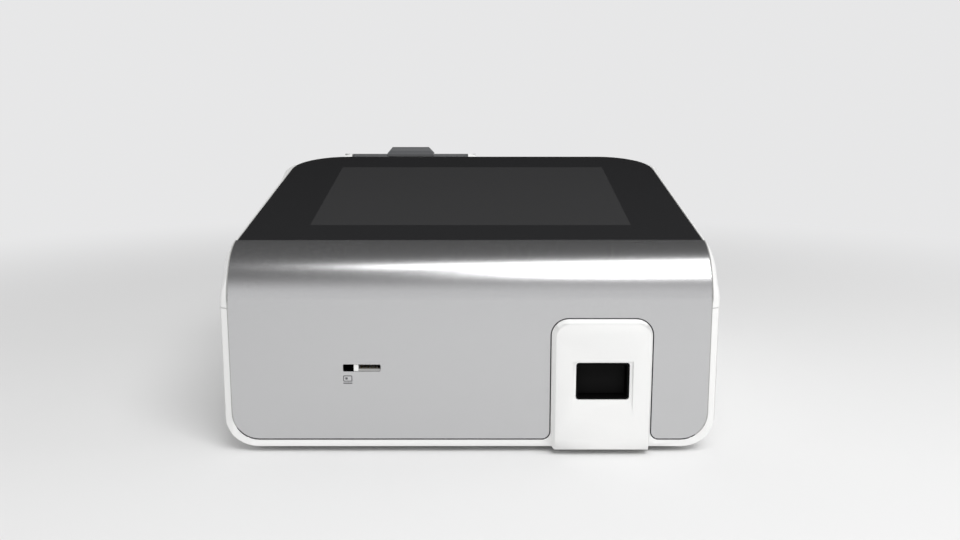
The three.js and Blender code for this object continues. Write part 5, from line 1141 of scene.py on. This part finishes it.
@dataclass
class Casing:
    """The mouldings that the eye meets first: housings, panel, glass, lid and latch.

    The rim is the upper housing's edge beside the glass, and a turn is a lower corner of the lower one.
    """

    corner: float = 0.3
    rim: float = 112.5
    edge: float = 5.0
    facet: float = 3.5355
    hair: float = 0.85
    hair_drop: float = 0.35
    # Within the hair: an old distance outward, the new one, and the new drop
    hair_rows: tuple[tuple[float, float, float], ...] = (
        (0.0, 0.0, 0.0),
        (0.5, 0.5, 0.03),
        (1.2, 0.62, 0.08),
        (2.4, 0.75, 0.2),
    )
    slope: float = math.radians(52.0)
    blend_turn: float = math.radians(25.0)
    blend_end: float = 28.0
    blend_length: float = 26.0
    cuts_out: tuple[float, ...] = (1.2, 2.4, 3.75, 4.0, 4.25, 4.5, 4.75)
    cuts_along: int = 7
    cut_inside: float = 0.1
    side_facing: float = 0.99
    inner_slack: float = 0.01
    outer_slack: float = 0.02
    drop_slack: float = 0.06
    turn_x: float = 100.5471
    turn_z: float = 19.5
    turn_radius: float = 16.5
    turn_start: float = math.radians(0.5132)
    turn_facets: int = 5
    turn_slack: float = 0.02
    angle_slack: float = 0.004

    @property
    def turn_step(self) -> float:
        """How far each facet of a lower corner turns."""
        return (QUARTER - self.turn_start) / self.turn_facets

    def build(self) -> None:
        """Copies each moulding's form, rounds its edges and dresses it."""
        for node, look, body, angle, edge in (
            ("upper_housing", Look.WHITE, "case", 50.0, 0.0),
            ("lower_housing", Look.WHITE, "case", 50.0, 0.0),
            ("front_panel", Look.SILVER, "case", 50.0, self.corner),
            ("touch_glass", Look.GLASS, "case", 24.0, self.corner),
            ("printer_lid", Look.LID, "lid", 24.0, self.corner),
            ("lid_latch", Look.LID, "latch_lever", 24.0, self.corner),
        ):
            piece = cast(node)
            if node == "upper_housing":
                self.divide_rim(piece.data)
                self.draw_in_rim(piece.data)
            if node == "lower_housing":
                self.divide_corners(piece.data)
                self.round_corners(piece.data)
            soften(piece, angle, edge)
            hand_over(piece, look, [node], body)

    def corner_polar(self, points: Array) -> tuple[Array, Array]:
        """Distance from the nearer lower corner's axis, and turn from level outward down to straight down.

        Args:
            points: Points in millimetres, three columns.

        Returns:
            The distances and the turns.
        """
        out = np.abs(points[:, 0]) - self.turn_x
        down = self.turn_z - points[:, 2]
        return np.hypot(out, down), np.arctan2(down, out)

    def on_corner(self, points: Array) -> Array:
        """Which points lie on the facets of a lower corner."""
        distance, turn = self.corner_polar(points)
        chord = self.turn_radius * math.cos(self.turn_step / 2.0)
        near = (distance > chord - self.turn_slack) & (distance < self.turn_radius + self.turn_slack)
        return near & (turn > self.turn_start - self.angle_slack) & (turn < QUARTER + self.angle_slack)

    def divide_corners(self, mesh: bpy.types.Mesh) -> None:
        """Cuts each facet of the two lower corners along its middle."""
        with editing(mesh) as work:
            for side in (-1.0, 1.0):
                axis = (side * self.turn_x * MM, 0.0, self.turn_z * MM)
                for n in range(self.turn_facets):
                    turn = self.turn_start + (n + 0.5) * self.turn_step
                    facets = [
                        face
                        for face in work.faces
                        if face.verts[0].co.x * side > 0.0
                        and self.on_corner(np.array([vert.co for vert in face.verts]) / MM).all()
                    ]
                    cut(work, facets, axis, (side * math.sin(turn), 0.0, math.cos(turn)))

    def round_corners(self, mesh: bpy.types.Mesh) -> None:
        """Moves every point on the facets of the two lower corners out to the corner's circle."""
        points = read_points(mesh)
        distance, _ = self.corner_polar(points)
        stretch = np.where(self.on_corner(points), self.turn_radius / distance, 1.0)
        axis = np.stack([np.sign(points[:, 0]) * self.turn_x, np.full(len(points), self.turn_z)], 1)
        points[:, [0, 2]] = axis + (points[:, [0, 2]] - axis) * stretch[:, None]
        write_points(mesh, points)

    def divide_rim(self, mesh: bpy.types.Mesh) -> None:
        """Cuts the outer band beside the glass along and across, so that it can be bent."""
        start = self.blend_end - self.blend_length
        along = [(sign * (self.rim + out), (1, 0, 0)) for sign in (-1, 1) for out in self.cuts_out]
        across = [(y, (0, 1, 0)) for y in np.linspace(start, self.blend_end, self.cuts_along + 1)[:-1]]
        inner = (self.rim - self.cut_inside) * MM
        with editing(mesh) as work:
            for place, normal in along + across:
                band = [
                    face
                    for face in work.faces
                    if min(abs(vert.co.x) for vert in face.verts) > inner
                    and abs(face.normal.x) < self.side_facing
                ]
                cut(work, band, tuple(place * MM * n for n in normal), normal)

    def draw_in_rim(self, mesh: bpy.types.Mesh) -> None:
        """Draws the case's upper side edges in, so that only a hair of the rim shows beside the glass.

        A point of the edge lies s outward of the glass and d under the skin, measured along the normal
        n = (-cos t, sin t) of the roll, whose turn t stops at the tablet's tilt. The CAD's edge has two
        flat facets. The new one falls slowly within the hair h and then follows a circle:
        s = h + r (sin f - sin f0) and d = d0 + r (cos f0 - cos f), with f from f0 to 90 degrees and r such
        that s ends at the case's side. Both are blended over the roll's start and before the deck.
        """
        points = read_points(mesh)
        out = np.abs(points[:, 0]) - self.rim
        turn = np.arctan2(points[:, 2] - SIZES.roll_z, SIZES.roll_y - points[:, 1])
        turn = np.where(points[:, 2] < SIZES.roll_z, 0.0, np.clip(turn, 0.0, QUARTER - SIZES.tilt))
        normal = np.stack([-np.cos(turn), np.sin(turn)], 1)
        centre = np.array([SIZES.roll_y, SIZES.roll_z])
        drop = SIZES.roll_radius - ((points[:, 1:] - centre) * normal).sum(1)
        fall = self.edge - self.facet
        was = np.interp(out, [0.0, self.facet, self.edge], [0.0, fall, self.edge])
        on_edge = (out > self.inner_slack) & (out < self.edge + self.outer_slack)
        on_edge &= (np.abs(drop - was) < self.drop_slack) & (points[:, 1] < self.blend_end) & (turn > 0.0)

        radius = (self.edge - self.hair) / (1.0 - math.sin(self.slope))
        facing = self.slope + (QUARTER - self.slope) * np.clip((out - self.facet) / fall, 0.0, 1.0)
        old, hair_out, hair_down = np.array([*self.hair_rows, (self.facet, self.hair, self.hair_drop)]).T
        round_out = self.hair + radius * (np.sin(facing) - math.sin(self.slope))
        round_drop = self.hair_drop + radius * (math.cos(self.slope) - np.cos(facing))
        far = out > self.facet
        new_out = np.where(far, round_out, np.interp(out, old, hair_out))
        new_drop = np.where(far, round_drop, np.interp(out, old, hair_down))

        start = smooth(turn / self.blend_turn)
        end = smooth((self.blend_end - points[:, 1]) / self.blend_length)
        share = np.where(on_edge, start * end, 0.0)
        points[:, 0] += np.sign(points[:, 0]) * (new_out - out) * share
        points[:, 1:] -= normal * ((new_drop - drop) * share)[:, None]
        write_points(mesh, points)


@dataclass
class PanelSeamStrips:
    """The strips in the seam round the silver panel: a dark one that paints the seam's shadow line, and pale
    ones that fill the side seams. The fades count points of the outline.
    """

    half: float = 112.6
    low: float = 6.7
    corner: float = 12.4
    port_half: float = 24.15
    port_top: float = 65.5
    port_corner: float = 8.5
    flare: float = 3.6
    seam: float = 0.4
    depth: float = 0.16
    thickness: float = 0.36
    side_thickness: float = 0.24
    end_thickness: float = 0.1
    corner_steps: int = 10
    side_steps: int = 25
    left_fade: tuple[float, float] = (1.0, 6.0)
    right_fade: tuple[float, float] = (3.0, 9.0)

    def build(self) -> None:
        """Carries a dark strip, which paints the seam's shadow line, under the panel and round the port, and
        a pale one up each side.

        The pale strips go over the roll and round the lower corners, where the dark one thins out
        inside them.
        """
        left, right = SIZES.port_x - self.port_half, SIZES.port_x + self.port_half
        high = SIZES.roll_z + SIZES.roll_radius * (QUARTER - SIZES.tilt)
        outline = rounded(
            [
                (-self.half, high),
                (-self.half, self.low, self.corner),
                (left, self.low, self.flare),
                (left, self.port_top, self.port_corner),
                (right, self.port_top, self.port_corner),
                (right, self.low, self.flare),
                (self.half, self.low, self.corner),
                (self.half, high),
            ],
            self.corner_steps,
        )
        path = inset(outline, -self.seam / 2.0)
        path[[0, -1], 1] = high - self.depth
        rise = np.linspace(0.0, 1.0, self.side_steps)[:, None]
        fillers = Shape()
        for way in (path, path[::-1]):
            side = way[0] + (way[1] - way[0]) * rise
            around = way[2 : self.corner_steps + 2]
            fillers.tube(self.rolled(np.concatenate([side, around])), self.side_thickness)
        dark = path[1:-1]
        step = np.arange(len(dark))
        left_share = np.interp(step, self.left_fade, (0.0, 1.0))
        right_share = np.interp(step[::-1], self.right_fade, (0.0, 1.0))
        full = np.minimum(left_share, right_share)
        thickness = self.end_thickness + (self.thickness - self.end_thickness) * full
        # A dark rubber strip in the seam that paints the seam's shadow line
        strip = Shape().tube(self.rolled(dark), thickness)
        strip.finish("panel_seam_shadow", Look.RUBBER, 60.0)
        fillers.finish("panel_fillers", Look.LEDGE, 60.0)

    def rolled(self, path: Array) -> Array:
        """Lays a flat outline on the panel's surface.

        Up to the roll's axis a point stays flat; above it, the height over the axis is an arc length
        that turns round the axis by height / radius.

        Args:
            path: (x, height) pairs, the height measured along the surface.

        Returns:
            The points in three dimensions.
        """
        over = np.clip(path[:, 1] - SIZES.roll_z, 0.0, None)
        turn = over / SIZES.roll_radius
        radius = SIZES.roll_radius - self.depth
        y = SIZES.roll_y - radius * np.cos(turn)
        z = np.where(over > 0.0, SIZES.roll_z + radius * np.sin(turn), path[:, 1])
        return np.stack([path[:, 0], y, z], 1)


@dataclass
class IdSlot:
    """The slot for the code key: a white key post, two pale ledges, contacts and a printed card sign.

    From the left it has an open cell, the post, and the ledges over and under the contacts. A corner
    rounds an outline as the front shows it, and an edge rounds its rims.
    """

    x: float = -50.8
    width: float = 17.7
    sill: float = 39.8
    height: float = 3.5
    flange: float = 1.45
    cell: float = 5.0
    post: float = 2.2
    set_back: float = 0.4
    depth: float = 9.0
    wall: float = 0.8
    ledge: float = 1.0
    lintel: float = 0.5
    gap: float = 0.06
    recess: float = 0.5
    mouth_corner: float = 0.3
    post_corner: float = 0.15
    post_edge: float = 0.12
    ledge_corner: float = 0.1
    ledge_edge: float = 0.08
    contacts: int = 6
    contact_radius: float = 0.16
    contact_lift: float = 0.1
    contact_bow: float = 0.45
    contact_start: float = 1.4
    contact_length: float = 7.0
    contact_steps: int = 9
    sign_width: float = 4.3
    sign_height: float = 3.0
    sign_drop: float = 1.9
    sign_corner: float = 0.45
    sign_line: float = 0.42
    chip_side: float = 0.95
    chip_width: float = 1.15
    chip_low: float = 1.0
    chip_corner: float = 0.12
    bar_gap: float = 0.5
    bar_height: float = 0.55
    bar_corner: float = 0.1
    ink: float = 0.03
    ink_root: float = 0.01
    smoothing: float = 35.0

    def build(self) -> None:
        """Makes the body, the post, the ledges, the contacts and the sign."""
        face = -SIZES.front_y - self.set_back
        root = face - self.depth
        low, high = self.sill, self.sill + self.height
        left, right = self.x - self.width / 2.0, self.x + self.width / 2.0
        mouth = rectangle(left, right, low, high, self.mouth_corner)
        body = Shape().loop(inset(mouth, -self.flange), mouth, FACE, root, face)
        body.plate(inset(mouth, -self.recess), FACE, root - self.wall, root)
        # The slot's body is in the near black that paints the slot's shade
        body.finish("slot_body", Look.BLACK_WITH_PAINTED_SHADE, self.smoothing, ["id_slot_insert"])

        start = left + self.cell
        outline = rectangle(start, start + self.post, low + self.gap, high - self.gap, self.post_corner)
        post = Shape().plate(outline, FACE, root, face, self.post_edge)
        post.finish("slot_post", Look.WHITE, self.smoothing)

        start, end = start + self.post, right - self.gap
        ledges = Shape()
        for z0, z1, back in (
            (low + self.gap, low + self.ledge, 0.0),
            (high - self.lintel, high - self.gap, self.lintel),
        ):
            outline = rectangle(start, end, z0, z1, self.ledge_corner)
            ledges.plate(outline, FACE, root, face - back, self.ledge_edge)
        ledges.finish("slot_ledges", Look.LEDGE, self.smoothing)

        contacts = Shape()
        share = np.linspace(0.0, 1.0, self.contact_steps)
        y = -(face - self.contact_start - share * self.contact_length)
        bow = low + self.ledge + self.contact_lift + self.contact_bow * np.sin(share * math.pi)
        for n in range(self.contacts):
            x = start + (n + 0.75) * (end - start) / (self.contacts + 0.5)
            contacts.tube(np.stack([np.full(len(share), x), y, bow], 1), self.contact_radius)
        contacts.finish("slot_contacts", Look.GOLD, self.smoothing)
        self.sign()

    def sign(self) -> None:
        """Prints a plain card outline with a chip and a bar under it, in grey ink."""
        left = self.x - self.width / 2.0
        right = left + self.sign_width
        top = self.sill - self.sign_drop
        low = top - self.sign_height
        root, face = -SIZES.front_y - self.ink_root, -SIZES.front_y + self.ink
        card = rectangle(left, right, low, top, self.sign_corner, 4)
        chip_left = left + self.chip_side
        chip_right = chip_left + self.chip_width
        chip_bottom, chip_top = low + self.chip_low, top - self.chip_side
        chip = rectangle(chip_left, chip_right, chip_bottom, chip_top, self.chip_corner, 3)
        bar_top = low - self.bar_gap
        bar = rectangle(left, right, bar_top - self.bar_height, bar_top, self.bar_corner, 3)
        sign = Shape().loop(card, inset(card, self.sign_line), FACE, root, face)
        sign.plate(chip, FACE, root, face).plate(bar, FACE, root, face)
        sign.finish("slot_sign", Look.INK, self.smoothing)


@dataclass
class RearSockets:
    """What is inside the rear sockets, and the marks on the power switch.

    Two numbers in y or z are a start and an end; a sink is how far a piece reaches into what carries
    it and a rise how far it stands out. The pin is a profile of (radius, height) pairs, and a mark's
    size is the bar's half length and the ring's radius.
    """

    usb_x: tuple[float, float] = (10.0, 30.0)
    usb_z: float = 20.6
    usb_strips: int = 4
    usb_pitch: float = 2.3
    usb_half: float = 0.5
    usb_sink: float = 0.06
    usb_rise: float = 0.04
    usb_y: tuple[float, float] = (131.0, 138.2)
    lan_x: float = -16.0
    lan_wires: int = 8
    lan_pitch: float = 1.02
    lan_wire: float = 0.18
    lan_steps: int = 10
    lan_y: tuple[float, float] = (129.2, 138.2)
    lan_z: tuple[float, float] = (22.8, 19.8)
    lan_back: float = 140.1
    light_x: float = 5.9
    light_half: float = 1.1
    light_corner: float = 0.25
    light_edge: float = 0.08
    light_sink: float = 0.4
    light_rise: float = 0.12
    light_z: tuple[float, float] = (27.4, 29.0)
    dc_x: float = 62.0
    dc_y: float = 128.0
    dc_z: float = 21.7
    pin: tuple[tuple[float, float], ...] = (
        (0.0, 0.0),
        (1.0, 0.0),
        (1.0, 9.0),
        (0.86, 9.5),
        (0.5, 9.85),
        (0.0, 10.0),
    )
    pin_sides: int = 24
    rocker_x: float = 88.0
    rocker_z: float = 32.0
    rocker_y: float = 138.9
    rocker_lift: float = 3.3
    mark: float = 1.1
    mark_sink: float = 0.6
    bar_half: float = 0.25
    bar_corner: float = 0.1
    bar_rise: float = 0.55
    ring_line: float = 0.4
    ring_sides: int = 28
    ring_rise: float = 0.9

    def build(self) -> None:
        """Makes the contacts, the pin, the lights and the marks."""
        self.usb_contacts()
        self.network_contacts()
        self.network_lights()
        self.power_pin()
        self.rocker_marks()

    def usb_contacts(self) -> None:
        """Gilt strips on the tongue of each port."""
        strips = Shape()
        for x in self.usb_x:
            for n in range(self.usb_strips):
                middle = x + (n - (self.usb_strips - 1) / 2.0) * self.usb_pitch
                strip = rectangle(middle - self.usb_half, middle + self.usb_half, *self.usb_y)
                strips.plate(strip, FLOOR, self.usb_z - self.usb_sink, self.usb_z + self.usb_rise)
        strips.finish("usb_contacts", Look.GOLD, 35.0)

    def network_contacts(self) -> None:
        """Sprung wires that slope down into the socket.

        Each wire lies at its own x; along it the height falls by a quarter cosine from the back of the
        cavity to its mouth.
        """
        wires = Shape()
        share = np.linspace(0.0, 1.0, self.lan_steps)
        high, low = self.lan_z
        y = self.lan_y[0] + share * (self.lan_y[1] - self.lan_y[0])
        z = low + (high - low) * np.cos(share * QUARTER)
        for n in range(self.lan_wires):
            x = self.lan_x + (n - (self.lan_wires - 1) / 2.0) * self.lan_pitch
            wires.tube(np.stack([np.full(len(share), x), y, z], 1), self.lan_wire)
        wires.finish("network_contacts", Look.GOLD, 50.0)

    def network_lights(self) -> None:
        """Two small light windows in the upper corners of the can's face."""
        for side, name in ((-1.0, "network_light_left"), (1.0, "network_light_right")):
            x = -(self.lan_x + side * self.light_x)
            sides = (x - self.light_half, x + self.light_half)
            window = rectangle(*sides, *self.light_z, self.light_corner, 4)
            low, high = self.lan_back - self.light_sink, self.lan_back + self.light_rise
            Shape().plate(window, BACK, low, high, self.light_edge).finish(name, Look.LENS, 35.0)

    def power_pin(self) -> None:
        """The jack's centre pin, with a rounded tip."""
        axis = Frame((1, 0, 0), (0, 0, 1), (0, 1, 0), (self.dc_x, self.dc_y, self.dc_z))
        Shape().turned(self.pin, axis, self.pin_sides).finish("power_pin", Look.STEEL, 30.0)

    def rocker_marks(self) -> None:
        """A bar on the upper half of the rocker and a ring on the lower half, for on and off."""
        above, below = (
            Frame(BACK.first, BACK.second, BACK.third, (self.rocker_x, self.rocker_y, self.rocker_z + lift))
            for lift in (self.rocker_lift, -self.rocker_lift)
        )
        bar = rectangle(-self.bar_half, self.bar_half, -self.mark, self.mark, self.bar_corner, 3)
        ring = circle(self.mark, self.ring_sides)
        marks = Shape().plate(bar, above, -self.mark_sink, self.bar_rise)
        marks.loop(ring, inset(ring, self.ring_line), below, -self.mark_sink, self.ring_rise)
        marks.finish("rocker_marks", Look.WHITE, 35.0, body="rocker")


@dataclass
class PaperWeb:
    """The strip of paper that leaves the roll and passes between the head and the platen."""

    x: float = -41.5
    width: float = 57.0
    roll_radius: float = 23.5
    leave: float = math.radians(128.0)
    platen_y: float = 74.0288
    platen_z: float = 119.4674
    platen_radius: float = 6.05
    wrap: tuple[float, float] = (262.0, 180.0)
    wrap_steps: int = 14
    run_steps: int = 8
    sag: float = 0.5
    end_z: float = 124.0
    thickness: float = 0.09

    def build(self) -> None:
        """Draws the strip's side view and carries it across.

        It leaves the roll along its tangent, runs straight to the underside of the platen, follows
        the platen's circle for a quarter turn and rises straight beside the head.
        """
        off = self.roll_radius * np.array([math.cos(self.leave), math.sin(self.leave)])
        start = np.array([SIZES.paper_y, SIZES.paper_z]) + off
        turn = np.radians(np.linspace(*self.wrap, self.wrap_steps))
        around = np.stack([np.cos(turn), np.sin(turn)], 1)
        arc = np.array([self.platen_y, self.platen_z]) + self.platen_radius * around
        share = np.linspace(0.0, 1.0, self.run_steps)[:-1, None]
        run = start + (arc[0] - start) * share
        run[:, 1] += np.sin(share[:, 0] * math.pi) * self.sag
        path = np.concatenate([run, arc, [[arc[-1, 0], self.end_z]]])
        along = np.gradient(path, axis=0)
        along /= np.linalg.norm(along, axis=1)[:, None]
        side = np.stack([-along[:, 1], along[:, 0]], 1) * self.thickness / 2.0
        half = self.width / 2.0
        rings = [
            np.concatenate([np.full((len(path), 1), self.x + x), path + move], 1)
            for x, move in ((-half, side), (half, side), (half, -side), (-half, -side))
        ]
        Shape().rings(np.stack(rings, 1)).finish("paper_web", Look.PAPER, 40.0)


@dataclass
class Feet:
    """Four turned rubber feet with a rounded rim and a grooved sole, whose grooves start at given radii."""

    radius: float = 6.85
    height: float = 3.7
    groove: float = 0.35
    grooves: tuple[float, ...] = (1.6, 3.0, 4.4)
    groove_width: float = 0.7
    flank: float = 0.15
    rim: float = 0.6
    rim_fall: float = 0.18
    shoulder: float = 0.3
    sides: int = 40

    def build(self) -> None:
        """Replaces each CAD foot by a turned one at the same place."""
        profile = [(0.0, 0.0)]
        for r in self.grooves:
            end = r + self.groove_width
            profile += [(r, 0.0), (r + self.flank, self.groove), (end - self.flank, self.groove), (end, 0.0)]
        profile += [(self.radius - self.rim, 0.0), (self.radius - self.rim_fall, self.rim_fall)]
        profile += [(self.radius, self.rim), (self.radius, self.height - self.shoulder)]
        profile += [(self.radius - self.shoulder, self.height), (0.0, self.height)]
        for name in ("foot_front_left", "foot_front_right", "foot_rear_left", "foot_rear_right"):
            low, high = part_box(name)
            middle = (low + high) / 2.0 / MM
            axis = Frame(FLOOR.first, FLOOR.second, FLOOR.third, (middle.x, middle.y, 0.0))
            foot = Shape().turned(profile, axis, self.sides)
            foot.finish(name + "_turned", Look.RUBBER, 35.0, [name])


@dataclass
class HeadSprings:
    """Two coil springs that press the head on the platen."""

    radius: float = 1.55
    wire: float = 0.22
    turns: int = 6
    turn_steps: int = 20

    def build(self) -> None:
        """Winds each spring in the place of its CAD solid.

        At a share t of its length the wire's centre lies at (r cos 2 pi n t, y0 + L t, r sin 2 pi n t).
        """
        share = np.linspace(0.0, 1.0, self.turns * self.turn_steps + 1)
        angle = share * self.turns * TURN
        across, up = self.radius * np.cos(angle), self.radius * np.sin(angle)
        for name in ("head_spring_left", "head_spring_right"):
            low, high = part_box(name)
            middle = (low + high) / 2.0 / MM
            y0, y1 = low.y / MM + self.wire, high.y / MM - self.wire
            path = np.stack([middle.x + across, y0 + (y1 - y0) * share, middle.z + up], 1)
            Shape().tube(path, self.wire).finish(name + "_wound", Look.STEEL, 60.0, [name])


def dress_nodes(nodes: dict[str, bpy.types.Object]) -> None:
    """Gives every CAD node that stays in view its finish.

    Args:
        nodes: The CAD nodes by name.
    """
    looks = {name: look for look, names in NODE_LOOKS.items() for name in names.split()}
    for name, node in nodes.items():
        if name in looks:
            node.data.materials.clear()
            node.data.materials.append(looks[name].value.material())
            log.info("%s stays as it is, in %s", name, looks[name].value.name)


def main() -> None:
    """Builds the studio and the instrument."""
    logging.basicConfig(level=logging.INFO, format="%(name)s: %(message)s")
    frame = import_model()
    Studio().build()
    dress_nodes(frame["nodes"])
    for part in (Casing(), PanelSeamStrips(), IdSlot(), RearSockets(), PaperWeb(), Feet(), HeadSprings()):
        part.build()


if __name__ == "__main__":
    main()
